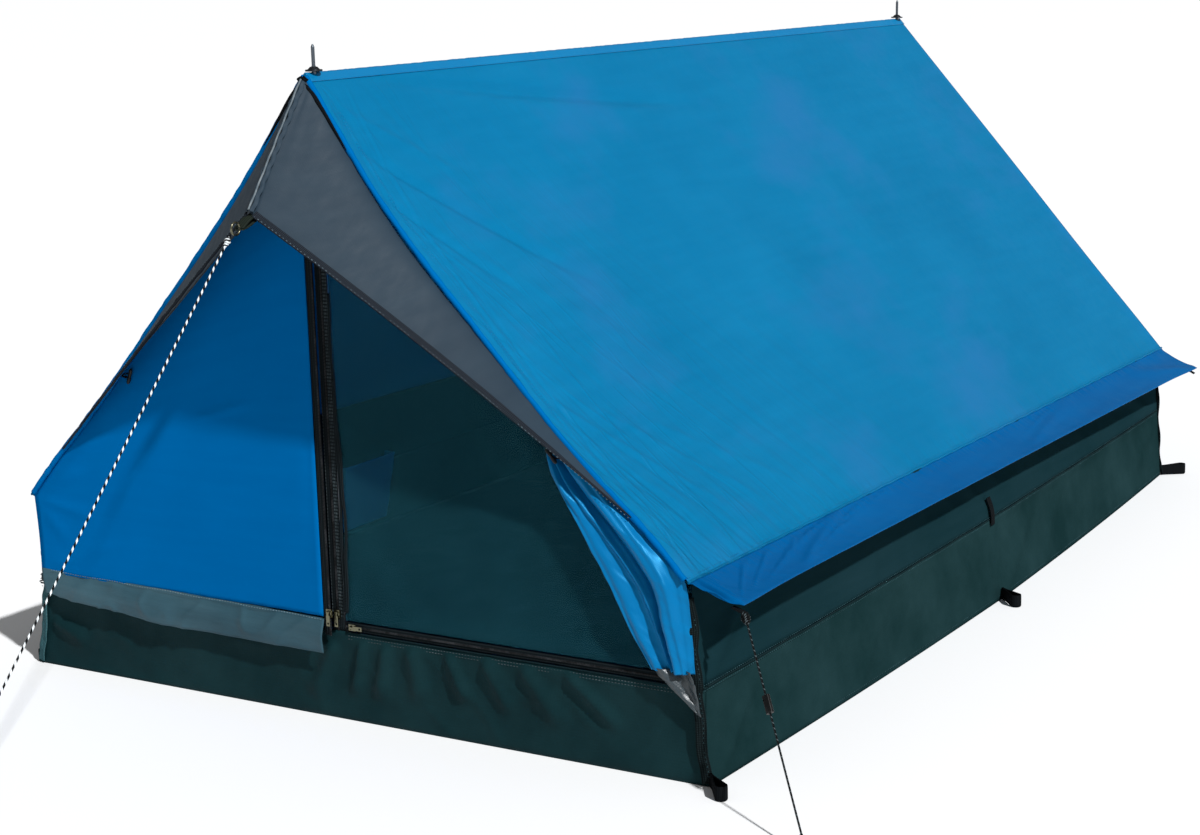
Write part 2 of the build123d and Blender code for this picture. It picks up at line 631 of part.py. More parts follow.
# ---- zip sliders --------------------------------------------------------------------------------
SLIDER_LENGTH, SLIDER_WIDTH, SLIDER_RISE = 12, 9, 3.1
SLIDER_CLEARANCE = 0.3      # over the tape
PIN_RISE = 5.1              # pull tab's pin above the tape
PIN_HEIGHT = 2.5            # and above the slider's middle
PIN_DIAMETER = 1.2
TAB_LENGTH, TAB_WIDTH, TAB = 21, 6, 1.2
EYE_WIDTH, EYE_DIAMETER = 2.6, 3


def slider_pieces():
    """A slider over a coil along Z and its pull tab, which hangs from a pin along X.

    The tape's face is at zero depth, the slider's middle at zero height, and out is -Y.
    """
    body = Pos(0, -SLIDER_CLEARANCE - SLIDER_RISE / 2, 0) * Box(SLIDER_WIDTH, SLIDER_RISE, SLIDER_LENGTH)
    body -= Box(COIL_WIDTH + 0.8, 3.8, SLIDER_LENGTH + 1)
    for side in (-1, 1):
        lug = Box(0.9, PIN_RISE - SLIDER_RISE + 1.2, 2.6, align=(Align.CENTER, Align.MAX, Align.CENTER))
        body += Pos(side * 2, -SLIDER_RISE, PIN_HEIGHT) * lug
    pin = Pos(0, -PIN_RISE, PIN_HEIGHT) * Rotation(0, 90, 0)
    body += pin * Cylinder(PIN_DIAMETER / 2, 4)
    tab = Pos(0, 0, -3) * Box(EYE_WIDTH, TAB, 6)
    tab += Pos(0, 0, -5) * Box(TAB_WIDTH, TAB, TAB_LENGTH - 5, align=(Align.CENTER, Align.CENTER, Align.MAX))
    tab += Rotation(0, 90, 0) * Cylinder(EYE_DIAMETER / 2, EYE_WIDTH)
    tab -= Rotation(0, 90, 0) * Cylinder(PIN_DIAMETER / 2 + 0.2, 4)
    tab -= Pos(0, 0, -TAB_LENGTH + 4) * Rotation(90, 0, 0) * Cylinder(1.6, 4)
    return body.solid(), (Pos(0, -PIN_RISE, PIN_HEIGHT) * tab).solid()


def make_sliders():
    outer_face = -ZIP_TAPE      # of the mesh zips' tapes, out from the front wall
    door_face = DOOR_OUT + ZIP_TAPE
    upright = FRONT_PLACE * Pos(0, -outer_face, MESH_BOTTOM + 8)
    lying = FRONT_PLACE * Pos(26, -outer_face, SILL) * Rotation(0, -90, 0)
    inside = FRONT_PLACE * Pos(-26, FABRIC, SILL) * Rotation(0, 90, 0) * Rotation(0, 0, 180)
    on_door = FRONT_PLACE * Pos(-DOOR_ZIP_X - DOOR_ZIP_TEETH / 2, -door_face, DOOR_BOTTOM + 6)
    for name, place in (("centre", upright), ("sill_right", lying), ("sill_left", inside),
                        ("door", on_door)):
        body, tab = slider_pieces()
        save(f"slider_{name}", place * body)
        save(f"pull_tab_{name}", place * tab)


# ---- guy cords ----------------------------------------------------------------------------------
BEAK_GUY = ((0, FRONT - 183, 721), (0, FRONT - 843, 24))
CORNER_GUY = ((657, FRONT - 8, 248), (801, FRONT - 141, 18))
TENSIONER_LENGTH, TENSIONER_WIDTH, TENSIONER_DEPTH = 24, 10, 6


def point_along(route, share):
    start, end = Vector(*route[0]), Vector(*route[1])
    return start + (end - start) * share


def along(route, share):
    """A place on a straight cord whose Z runs down the cord."""
    start, end = Vector(*route[0]), Vector(*route[1])
    return Plane(origin=point_along(route, share), z_dir=end - start).location


def end_loop():
    """A tied loop below a knot, at the lower end of a cord."""
    loop = Pos(0, 0, 11.5) * Rotation(90, 0, 0) * Torus(9, CORD_DIAMETER / 2)
    knot = Pos(0, 0, 1) * Sphere(4.2)
    return (loop + knot - Pos(0, 0, -5) * Cylinder(CORD_DIAMETER / 2 + 0.02, 10)).solid()


def tensioner():
    """A small block on the cord, with a second hole for the cord's tied end."""
    body = Box(TENSIONER_WIDTH, TENSIONER_DEPTH, TENSIONER_LENGTH)
    body = fillet(body.edges().filter_by(Axis.Z), 2)
    body -= Cylinder(CORD_DIAMETER / 2 + 0.5, TENSIONER_LENGTH + 2)
    body -= Pos(3.2, 0, 6 - TENSIONER_LENGTH / 2) * Rotation(90, 0, 0) * Cylinder(0.9, TENSIONER_DEPTH + 2)
    return body.solid()


def make_guys():
    loops = []
    for name, route, share in (("beak_guy", BEAK_GUY, 0.86), ("corner_guy", CORNER_GUY, 0.42)):
        save(name, rod(*route, CORD_DIAMETER))
        loops.append(along(route, 1) * end_loop())
        save(name + "_tensioner", along(route, share) * tensioner())
        length = math.dist(*route)
        print(f"{name}: straight run {length:.0f} mm, no turns")
    save("guy_loops", *loops)


# ---- build --------------------------------------------------------------------------------------
make_floor()
make_side_panels()
make_roof()
make_eave_flaps()
make_ridge_tape()
make_tub_ends()
make_zips()
make_mesh_doors()
make_outer_door()
make_tied_door()
make_toggles()
make_beak()
make_roof_edge()
make_beak_tip()
make_rear_wall()
make_corner_bindings()
make_peg_loops()
make_eave_tabs()
make_tie_straps()
make_pocket()
make_poles()
make_ridge_washers()
make_sliders()
make_guys()

for name, shape in nodes.items():
    export_step(shape, f"parts/{name}.step")
print(len(nodes), "nodes")
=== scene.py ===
"""Looks of the ridge tent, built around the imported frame. Metres, in the frame of the CAD part."""
import math

import bmesh
import bpy
import numpy as np
from mathutils import Matrix, Vector


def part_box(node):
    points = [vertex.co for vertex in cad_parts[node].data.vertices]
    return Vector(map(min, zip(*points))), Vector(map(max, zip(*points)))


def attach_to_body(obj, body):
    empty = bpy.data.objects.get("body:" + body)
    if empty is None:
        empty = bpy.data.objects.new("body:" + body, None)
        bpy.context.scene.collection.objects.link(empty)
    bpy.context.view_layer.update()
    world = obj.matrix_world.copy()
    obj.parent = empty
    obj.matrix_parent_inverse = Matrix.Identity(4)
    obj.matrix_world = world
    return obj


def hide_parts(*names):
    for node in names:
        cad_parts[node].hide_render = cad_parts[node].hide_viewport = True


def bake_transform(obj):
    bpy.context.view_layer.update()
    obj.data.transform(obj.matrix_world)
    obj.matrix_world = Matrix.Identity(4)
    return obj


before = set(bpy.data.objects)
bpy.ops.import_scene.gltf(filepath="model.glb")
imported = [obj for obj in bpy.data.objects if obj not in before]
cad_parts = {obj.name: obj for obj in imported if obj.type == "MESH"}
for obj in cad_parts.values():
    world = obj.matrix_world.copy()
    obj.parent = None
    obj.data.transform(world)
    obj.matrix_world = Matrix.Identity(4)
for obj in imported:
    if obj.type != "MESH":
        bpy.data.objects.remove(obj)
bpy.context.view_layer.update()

scene = bpy.context.scene

# ---- places, from the frame ---------------------------------------------------------------------
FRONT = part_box("tub_wall_front")[0].y
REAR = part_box("groundsheet")[1].y
ROOF_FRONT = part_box("roof_panel_right")[0].y
ROOF_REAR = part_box("roof_panel_right")[1].y
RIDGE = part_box("roof_panel_right")[1].z
EAVE_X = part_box("roof_panel_right")[1].x
EAVE_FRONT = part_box("eave_flap_right")[1].z
HANGING_FLAP = 0.080        # drop of the left eave flap
EAVE_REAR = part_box("eave_flap_left")[0].z + HANGING_FLAP
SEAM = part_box("tub_wall_front")[1].z
FLOOR_HALF = 0.600          # half the floor's width at its ends
FLOOR_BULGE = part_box("groundsheet")[1].x - FLOOR_HALF
REAR_LEAN = 0.054           # of the rear wall's top, behind its foot
FLAP_HEM_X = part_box("eave_flap_right")[1].x
FLAP_DROP_FRONT, FLAP_DROP_REAR = 0.022, 0.036         # of the right flap's hem, below the eave
TAPE_WIDTH = 0.016          # of the sill zips in the frame
SILL = SEAM + TAPE_WIDTH / 2
DOOR_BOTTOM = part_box("door_leaf_left")[0].z
DOOR_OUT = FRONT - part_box("door_leaf_left")[1].y       # inside face of the outer door, ahead of the wall
DOOR_EDGE = -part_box("door_leaf_left")[1].x
FLAP_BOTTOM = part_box("door_flap_left")[0].z
MESH_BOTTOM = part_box("mesh_leaf_right")[0].z
MESH_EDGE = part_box("mesh_leaf_right")[0].x
ZIP_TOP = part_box("mesh_zips")[1].z
FABRIC = 0.001              # thickness that the sewn panels are shown with
INSET = 0.003               # end wall panels stay this far inside the side walls and the roof
ROOF_LENGTH = ROOF_REAR - ROOF_FRONT
ROOF_FALL = math.dist((0, RIDGE), (EAVE_X, EAVE_FRONT))
SIDES = ((1, "right"), (-1, "left"))


def side_name(side):
    return "right" if side > 0 else "left"


# ---- camera -------------------------------------------------------------------------------------
CAMERA_PLACE = (1.904, -3.382, 1.062)
CAMERA_YAW, CAMERA_PITCH, CAMERA_ROLL = (math.radians(a) for a in (31.19, 11.68, -1.59))
CAMERA_LENS = 66.45


def make_camera():
    """The camera, from its place, its turns and its lens."""
    yaw, pitch, roll = CAMERA_YAW, CAMERA_PITCH, CAMERA_ROLL
    ahead = Vector((-math.sin(yaw) * math.cos(pitch), math.cos(yaw) * math.cos(pitch), -math.sin(pitch)))
    level = Vector((math.cos(yaw), math.sin(yaw), 0))
    upright = level.cross(ahead)
    right = level * math.cos(roll) + upright * math.sin(roll)
    up = upright * math.cos(roll) - level * math.sin(roll)
    camera = bpy.data.objects.new("camera", bpy.data.cameras.new("camera"))
    scene.collection.objects.link(camera)
    camera.data.lens = CAMERA_LENS
    turn = Matrix((right, up, -ahead)).transposed().to_4x4()
    camera.matrix_world = Matrix.Translation(CAMERA_PLACE) @ turn
    scene.camera = camera


# ---- small mathematics --------------------------------------------------------------------------
def mix(a, b, share):
    return a + (b - a) * share


def smooth(share):
    share = np.clip(share, 0, 1)
    return share * share * (3 - 2 * share)


def stack(x, y, z):
    return np.stack(np.broadcast_arrays(x, y, z), axis=-1).astype(float)


def unit(vectors):
    length = np.linalg.norm(vectors, axis=-1, keepdims=True)
    return vectors / np.where(length < 1e-12, 1, length)


def spline(points, share):
    """Points on a smooth curve through a few given ones, at shares 0 to 1 of its spans."""
    points = np.array(points, float)
    padded = np.vstack([2 * points[0] - points[1], points, 2 * points[-1] - points[-2]])
    place = np.clip(np.asarray(share, float), 0, 1) * (len(points) - 1)
    index = np.minimum(place.astype(int), len(points) - 2)
    k = (place - index)[..., None]
    a, b, c, d = (padded[index + n] for n in range(4))
    return 0.5 * (2 * b + (c - a) * k + (2 * a - 5 * b + 4 * c - d) * k**2 + (3 * b - a - 3 * c + d) * k**3)


LATTICE = 97                # cells before the noise repeats


def noise(s, t, size_s, size_t, seed, angle=0.0):
    """Smooth noise from -1 to 1 with cells of a given size, turned by an angle in degrees."""
    lattice = np.random.default_rng(seed).uniform(-1, 1, (LATTICE, LATTICE))
    c, d = math.cos(math.radians(angle)), math.sin(math.radians(angle))
    x, y = (s * c + t * d) / size_s, (t * c - s * d) / size_t
    i, j = np.floor(x).astype(int), np.floor(y).astype(int)
    fx, fy = smooth(x - i), smooth(y - j)

    def corner(m, n):
        return lattice[(i + m) % LATTICE, (j + n) % LATTICE]

    low = mix(corner(0, 0), corner(1, 0), fx)
    return mix(low, mix(corner(0, 1), corner(1, 1), fx), fy)


def ridged(s, t, size_s, size_t, seed, angle=0.0):
    """Noise with sharp folds, from 0 between the folds to 1 on them."""
    return (1 - np.abs(noise(s, t, size_s, size_t, seed, angle))) ** 4


def crease(s, t, start, end, width, height, spread=1.0):
    """A straight fold on the cloth that fades at both ends. Spread widens it towards its end."""
    (s0, t0), (s1, t1) = start, end
    length = math.hypot(s1 - s0, t1 - t0)
    ds, dt = (s1 - s0) / length, (t1 - t0) / length
    along = ((s - s0) * ds + (t - t0) * dt) / length
    across = (t - t0) * ds - (s - s0) * dt
    wide = width * mix(1, spread, np.clip(along, 0, 1))
    return height * np.exp(-((across / wide) ** 2)) * smooth(along / 0.2) * smooth((1 - along) / 0.3)


def creased(height, s, t, folds):
    """Height with straight folds added, each a row of start, end, width, height and spread."""
    for fold in folds:
        height = height + crease(s, t, *fold)
    return height


def fades(place, length, reach):
    """A share that is 1 along a stretch and falls to 0 over a given reach at both its ends."""
    return smooth(place / reach) * smooth((length - place) / reach)


def pucker(s, t, line, reach, size, height, seed):
    """Small gathers across a sewn line at t = line."""
    return height * noise(s, t, size, 1.0, seed) * np.exp(-(((t - line) / reach) ** 2))


# ---- sections of the tent -----------------------------------------------------------------------
def eave_z(y):
    return mix(EAVE_FRONT, EAVE_REAR, (y - ROOF_FRONT) / (ROOF_REAR - ROOF_FRONT))


def foot_x(y):
    """Half the floor's width: the middle peg loops pull the long edges out in a soft bow."""
    share = np.minimum(np.abs(y) / REAR, 1)
    return FLOOR_HALF + FLOOR_BULGE * (1 - 0.4 * share - 0.6 * share**2)


CORNER_DRAWN_IN = {0: 0.0, 1: 0.003, -1: 0.013}


def wall_x(y, z, side=0):
    """Half the width at a height of the side walls. A side adds how its front corner is drawn in."""
    drawn = CORNER_DRAWN_IN[side] * np.sin(math.pi * np.clip(z / eave_z(y), 0, 1))
    return mix(foot_x(y), EAVE_X, z / eave_z(y)) - drawn * np.exp(-np.abs(y - FRONT) / 0.2)


ROOF_DIPS = np.array([0, 11, 22, 27, 27, 25, 24, 21, 14, 3, 0]) * 0.001
LEFT_DIP = 0.55             # the left edge's sag, as a share of the right edge's


def roof_dip(side, down):
    """How far the roof's front edge hangs inside the straight line, from ridge (0) to eave (1)."""
    return spline(ROOF_DIPS[:, None], down)[..., 0] * (1.0 if side > 0 else LEFT_DIP)


def inward(side):
    """The direction square to the roof, into the tent."""
    return unit(np.array((-side * (RIDGE - EAVE_FRONT), 0, -EAVE_X)))


def half_width(y, z, side=0):
    """Half the width of an end wall at a height. A side takes the front edge's sag into account."""
    down = (RIDGE - z) / (RIDGE - eave_z(y))
    roof = EAVE_X * down
    if side:
        roof = roof - roof_dip(side, down) / abs(inward(side)[0])
    return np.where(z < eave_z(y), wall_x(y, z, side), roof)


def rear_y(z):
    return REAR + REAR_LEAN * z / RIDGE


def out(x, distance, z):
    """A point ahead of the front wall."""
    return stack(x, FRONT - distance, z)


# ---- meshes -------------------------------------------------------------------------------------
def new_object(name, vertices, faces, material, uv=None, sharp=False):
    mesh = bpy.data.meshes.new(name)
    mesh.from_pydata([tuple(v) for v in vertices], [], [tuple(f) for f in faces])
    if uv is not None:
        layer = mesh.uv_layers.new(name="cloth")
        corners = np.zeros(len(mesh.loops), int)
        mesh.loops.foreach_get("vertex_index", corners)
        layer.data.foreach_set("uv", np.asarray(uv, float)[corners].ravel())
    mesh.polygons.foreach_set("use_smooth", [not sharp] * len(mesh.polygons))
    mesh.materials.append(material)
    piece = bpy.data.objects.new(name, mesh)
    scene.collection.objects.link(piece)
    return piece


def merged(piece):
    """Joins the points that meet, as at the top of a triangle."""
    work = bmesh.new()
    work.from_mesh(piece.data)
    bmesh.ops.remove_doubles(work, verts=work.verts, dist=2e-5)
    bmesh.ops.dissolve_degenerate(work, edges=work.edges, dist=1e-6)
    work.to_mesh(piece.data)
    work.free()
    return piece


def grid_faces(columns, rows, keep=None):
    """Quads of a grid of (columns + 1) by (rows + 1) points."""
    i, j = np.meshgrid(np.arange(columns), np.arange(rows), indexing="ij")
    first = i * (rows + 1) + j
    quads = np.stack([first, first + rows + 1, first + rows + 2, first + 1], axis=-1)
    return quads.reshape(-1, 4) if keep is None else quads[keep]


def run_along(points, axis):
    """Distance travelled over the cloth along one direction of its grid."""
    steps = np.linalg.norm(np.diff(points, axis=axis), axis=-1)
    total = np.cumsum(steps, axis=axis)
    return np.concatenate([np.zeros_like(np.take(total, [0], axis=axis)), total], axis=axis)


def travelled(path):
    """Distance travelled along a line of points."""
    return run_along(path[:, None], 0)[:, 0]


def read_at(path, travel, at):
    """Places on a line of points at given distances along it."""
    return np.stack([np.interp(at, travel, path[:, n]) for n in range(3)], axis=-1)


def ring_faces(count, around, closed=False):
    """Quads round a row of rings of points, capped at both ends unless the row closes on itself."""
    faces = []
    for i in range(count if closed else count - 1):
        following = (i + 1) % count
        for j in range(around):
            k = (j + 1) % around
            faces.append((i * around + j, i * around + k, following * around + k, following * around + j))
    if not closed:
        faces.append(tuple(range(around - 1, -1, -1)))
        faces.append(tuple((count - 1) * around + j for j in range(around)))
    return faces


def cloth(name, place, facing, cell, finish, relief=None, hole=None, thickness=FABRIC, cells=None, flat=None):
    """A sewn panel: a fine grid over place(u, v), moved along its normal by relief(s, t, points).

    s and t are metres on the cloth, along u and along v. Returns the piece, which keeps its flat size and area.
    """
    line = np.linspace(0, 1, 60)
    wide = run_along(place(line, np.full(60, 0.5)), 0)[-1]
    tall = run_along(place(np.full(60, 0.5), line), 0)[-1]
    columns, rows = cells or (max(2, round(wide / cell)), max(2, round(tall / cell)))
    u, v = np.meshgrid(np.linspace(0, 1, columns + 1), np.linspace(0, 1, rows + 1), indexing="ij")
    points = place(u, v)
    s, t = run_along(points, 0), run_along(points, 1)
    edges = np.diff(points, axis=0)[:, :-1], np.diff(points, axis=1)[:-1]
    area = float(np.linalg.norm(np.cross(*edges), axis=-1).sum())
    normal = np.cross(np.gradient(points, axis=0), np.gradient(points, axis=1))
    typical = unit(normal.reshape(-1, 3).sum(0))
    turn = 1.0 if typical @ np.array(facing, float) > 0 else -1.0
    flat_spots = np.linalg.norm(normal, axis=-1, keepdims=True) < 1e-12
    normal = turn * unit(np.where(flat_spots, typical, normal))
    if relief is not None:
        points = points + normal * relief(s, t, points)[..., None]
    keep = None
    if hole is not None:
        middle_u, middle_v = (u[:-1, :-1] + u[1:, 1:]) / 2, (v[:-1, :-1] + v[1:, 1:]) / 2
        keep = ~hole(middle_u, middle_v)
    faces = grid_faces(columns, rows, keep)
    if turn < 0:
        faces = faces[:, ::-1]
    uv = np.stack([s, t], axis=-1).reshape(-1, 2)
    piece = merged(new_object(name, points.reshape(-1, 3), faces, finish, uv))
    shell = piece.modifiers.new("thickness", "SOLIDIFY")
    shell.thickness, shell.offset = thickness, -1
    flat = list(flat or (max(float(np.max(s)), 0.012), max(float(np.max(t)), 0.012)))
    piece["flat"] = flat
    piece["area"] = min(max(area, 0.301 * flat[0] * flat[1]), flat[0] * flat[1])
    return piece


def sew(piece, body, slot, *nodes, held="stretched"):
    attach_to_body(piece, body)
    declare(piece, slot, *nodes, held=held)


def declare(piece, slot, *nodes, held="stretched"):
    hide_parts(*nodes)


def attach(piece, body, slot, *nodes):
    """Puts any other piece on its body."""
    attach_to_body(piece, body)
    if nodes:
        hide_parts(*nodes)


def frames_along(path, up):
    """Side and upper directions of a strip that follows a path."""
    ahead = unit(np.gradient(path, axis=0))
    side = unit(np.cross(ahead, np.broadcast_to(up, path.shape)))
    return side, unit(np.cross(side, ahead))


RIBBON_SHARES = np.array([-1, -0.9, -0.5, 0, 0.5, 0.9, 1.0])         # across half of a ribbon's section
RIBBON_CROWN = np.array([0.35, 0.85, 1, 1, 1, 0.85, 0.35])          # its thickness there


def ribbon(name, path, up, width, thickness, finish, wave, seed):
    """A flat strip of tape or webbing along a path. Up is the direction its face looks."""
    path = np.array(path, float)
    side, face = frames_along(path, np.array(up, float))
    travel = travelled(path)
    rings, uv = [], []
    for level in (1, -1):
        order = slice(None) if level > 0 else slice(None, None, -1)
        for share, high in zip(RIBBON_SHARES[order], RIBBON_CROWN[order]):
            sway = wave * noise(travel, np.full_like(travel, share), 0.012, 0.7, seed)
            offset = side * (share * width / 2 + 0.5 * sway)[:, None]
            rings.append(path + offset + face * (level * high * thickness / 2 + sway)[:, None])
            uv.append(np.stack([travel, np.full_like(travel, share * width / 2)], axis=-1))
    points, uv = np.stack(rings, axis=1), np.stack(uv, axis=1)
    return new_object(name, points.reshape(-1, 3), ring_faces(*points.shape[:2]), finish, uv.reshape(-1, 2))


STRANDS = 4
STRAND_PITCH = 0.006
STRAND_RELIEF = 0.07


def tube(name, path, radius, finish, around=10, braided=False, closed=False):
    """A round cord or piping along a path, with a plain or a braided surface."""
    path = np.array(path, float)
    if closed:
        ahead = unit(np.roll(path, -1, axis=0) - np.roll(path, 1, axis=0))
    else:
        ahead = unit(np.gradient(path, axis=0))
    side = np.zeros_like(path)
    side[0] = unit(np.cross(ahead[0], (0.31, 0.17, 0.93)))
    for n in range(1, len(path)):
        side[n] = unit(side[n - 1] - ahead[n] * (side[n - 1] @ ahead[n]))
    other = np.cross(ahead, side)
    travel = travelled(path)
    angle = np.linspace(0, 2 * math.pi, around, endpoint=False)
    turn = angle[None, :] + 0 * travel[:, None]
    size = np.broadcast_to(np.asarray(radius, float), travel.shape)[:, None] * np.ones_like(turn)
    if braided:
        lay = 2 * math.pi * travel[:, None] / STRAND_PITCH
        size = size * (1 - STRAND_RELIEF + STRAND_RELIEF * np.cos(STRANDS * turn + lay) * np.cos(STRANDS * turn - lay))
    ring = np.cos(turn)[..., None] * side[:, None] + np.sin(turn)[..., None] * other[:, None]
    points = path[:, None] + ring * size[..., None]
    uv = np.stack([travel[:, None] + 0 * turn, turn / (2 * math.pi)], axis=-1)
    faces = ring_faces(len(path), around, closed)
    return new_object(name, points.reshape(-1, 3), faces, finish, uv.reshape(-1, 2))


def joined(name, pieces):
    """Several objects as one piece."""
    bpy.ops.object.select_all(action="DESELECT")
    for piece in pieces:
        piece.select_set(True)
    bpy.context.view_layer.objects.active = pieces[0]
    bpy.ops.object.join()
    pieces[0].name = pieces[0].data.name = name
    return pieces[0]


STITCH_POINTS = ((-0.5, 0, -0.3), (-0.25, 1, 0.4), (-0.25, -1, 0.4), (0.25, 1, 0.4), (0.25, -1, 0.4),
                 (0.5, 0, -0.3), (0, 0, 1.3))
STITCH_FACES = ((0, 2, 6), (0, 6, 1), (1, 6, 3), (2, 4, 6), (3, 6, 5), (4, 5, 6), (0, 1, 3, 5), (0, 5, 4, 2))


def stitches(name, path, up, finish, pitch, length, radius, rows):
    """Rows of thread stitches along a path, each a small six-sided bead on the surface."""
    path, up = np.array(path, float), np.array(up, float)
    travel = travelled(path)
    count = max(2, int(travel[-1] / pitch))
    at = (np.arange(count) + 0.5) * travel[-1] / count
    middle = read_at(path, travel, at)
    side, face_out = frames_along(middle, up)
    ahead = unit(np.gradient(middle, axis=0))
    vertices, faces = [], []
    for row in rows:
        for place, aside, onward, outward in zip(middle, side, ahead, face_out):
            base = len(vertices)
            centre = place + aside * row
            for along, across, high in STITCH_POINTS:
                vertices.append(centre + onward * along * length + aside * across * radius * 1.4
                                + outward * high * radius)
            faces += [tuple(base + k for k in face) for face in STITCH_FACES]
    return new_object(name, vertices, faces, finish)


# ---- materials ----------------------------------------------------------------------------------
def srgb(red, green, blue):
    """A screen colour, 0 to 255, as linear light."""
    return tuple((((c / 255 + 0.055) / 1.055) ** 2.4) if c > 10 else c / 255 / 12.92
                 for c in (red, green, blue)) + (1.0,)


class Finish:
    """A node-based material with one Principled shader, added to step by step."""

    def __init__(self, name, coordinates="UV", **sockets):
        self.material = bpy.data.materials.new(name)
        self.material.use_nodes = True
        self.nodes, self.links = self.material.node_tree.nodes, self.material.node_tree.links
        self.shader = self.nodes["Principled BSDF"]
        self.output = self.nodes["Material Output"]
        for socket, value in sockets.items():
            self.shader.inputs[socket.replace("_", " ")].default_value = value
        self.place = self.node("ShaderNodeTexCoord").outputs[coordinates]
        self.normal = None

    def node(self, kind, **values):
        made = self.nodes.new(kind)
        for key, value in values.items():
            setattr(made, key, value)
        return made

    def feed(self, source, target):
        if hasattr(source, "is_output"):
            self.links.new(source, target)
        else:
            target.default_value = source

    def stretched(self, size, turn=0.0, kind="POINT"):
        """The coordinates, scaled per axis and turned about Z by degrees; as a texture they are turned first."""
        mapping = self.node("ShaderNodeMapping", vector_type=kind)
        self.feed(self.place, mapping.inputs["Vector"])
        mapping.inputs["Scale"].default_value = size
        mapping.inputs["Rotation"].default_value = (0, 0, math.radians(turn))
        return mapping.outputs["Vector"]

    def noise(self, scale, detail=3.0, rough=0.55, vector=None):
        made = self.node("ShaderNodeTexNoise")
        self.feed(vector or self.place, made.inputs["Vector"])
        made.inputs["Scale"].default_value = scale
        made.inputs["Detail"].default_value = detail
        made.inputs["Roughness"].default_value = rough
        return made.outputs["Fac"]

    def threads(self, pitch, direction, distortion=0.0):
        """Bands a pitch apart, counted along X or Y."""
        made = self.node("ShaderNodeTexWave", bands_direction=direction)
        self.feed(self.place, made.inputs["Vector"])
        made.inputs["Scale"].default_value = 0.5 / pitch / math.pi
        made.inputs["Distortion"].default_value = distortion
        return made.outputs["Fac"]

    def math(self, operation, a, b=0.5):
        made = self.node("ShaderNodeMath", operation=operation)
        self.feed(a, made.inputs[0])
        self.feed(b, made.inputs[1])
        return made.outputs[0]

    def range(self, value, low, high, start=0.0, end=1.0):
        made = self.node("ShaderNodeMapRange")
        self.feed(value, made.inputs["Value"])
        for socket, number in (("From Min", start), ("From Max", end), ("To Min", low), ("To Max", high)):
            made.inputs[socket].default_value = number
        return made.outputs["Result"]

    def blend(self, share, a, b):
        made = self.node("ShaderNodeMix", data_type="RGBA")
        self.feed(share, made.inputs[0])
        self.feed(a, made.inputs[6])
        self.feed(b, made.inputs[7])
        return made.outputs[2]

    def colour(self, source):
        self.feed(source, self.shader.inputs["Base Color"])
        self.tint = source

    def roughness(self, source):
        self.feed(source, self.shader.inputs["Roughness"])

    def bump(self, height, strength, distance):
        made = self.node("ShaderNodeBump")
        self.feed(height, made.inputs["Height"])
        made.inputs["Strength"].default_value = strength
        made.inputs["Distance"].default_value = distance
        if self.normal is not None:
            self.feed(self.normal, made.inputs["Normal"])
        self.normal = made.outputs["Normal"]
        self.feed(self.normal, self.shader.inputs["Normal"])

    def pulled_lines(self):
        """Thin straight lines down the cloth, strongest by its front edge and its foot."""
        split = self.node("ShaderNodeSeparateXYZ")
        self.feed(self.place, split.inputs[0])
        near = self.math("MULTIPLY", self.range(split.outputs[0], 1, 0, 0.03, 0.62),
                         self.range(split.outputs[1], 0.25, 1, 0.15, 0.80))
        total = 0.0
        for turn, length, width, low, share in ((62, 0.45, 0.016, 0.60, 0.40), (74, 0.30, 0.009, 0.62, 0.34),
                                                (88, 0.30, 0.012, 0.60, 0.34)):
            turned = self.stretched((length, width, 1), turn, "TEXTURE")
            line = self.range(self.noise(1.0, 1.0, 0.4, turned), 0, share, low, low + 0.10)
            total = self.math("ADD", total, line)
        return self.math("MULTIPLY", total, near)

    def translucent(self, share):
        """Lets part of the light through, as thin coated cloth does."""
        back = self.node("ShaderNodeBsdfTranslucent")
        self.feed(self.tint, back.inputs["Color"])
        both = self.node("ShaderNodeMixShader")
        both.inputs[0].default_value = share
        self.links.new(self.shader.outputs[0], both.inputs[1])
        self.links.new(back.outputs[0], both.inputs[2])
        self.links.new(both.outputs[0], self.output.inputs["Surface"])


CLOTH_THREAD = 0.0011
TARPAULIN_TAPE = 0.0022
NET_THREAD = 0.0016
WEBBING_PICK = 0.0012


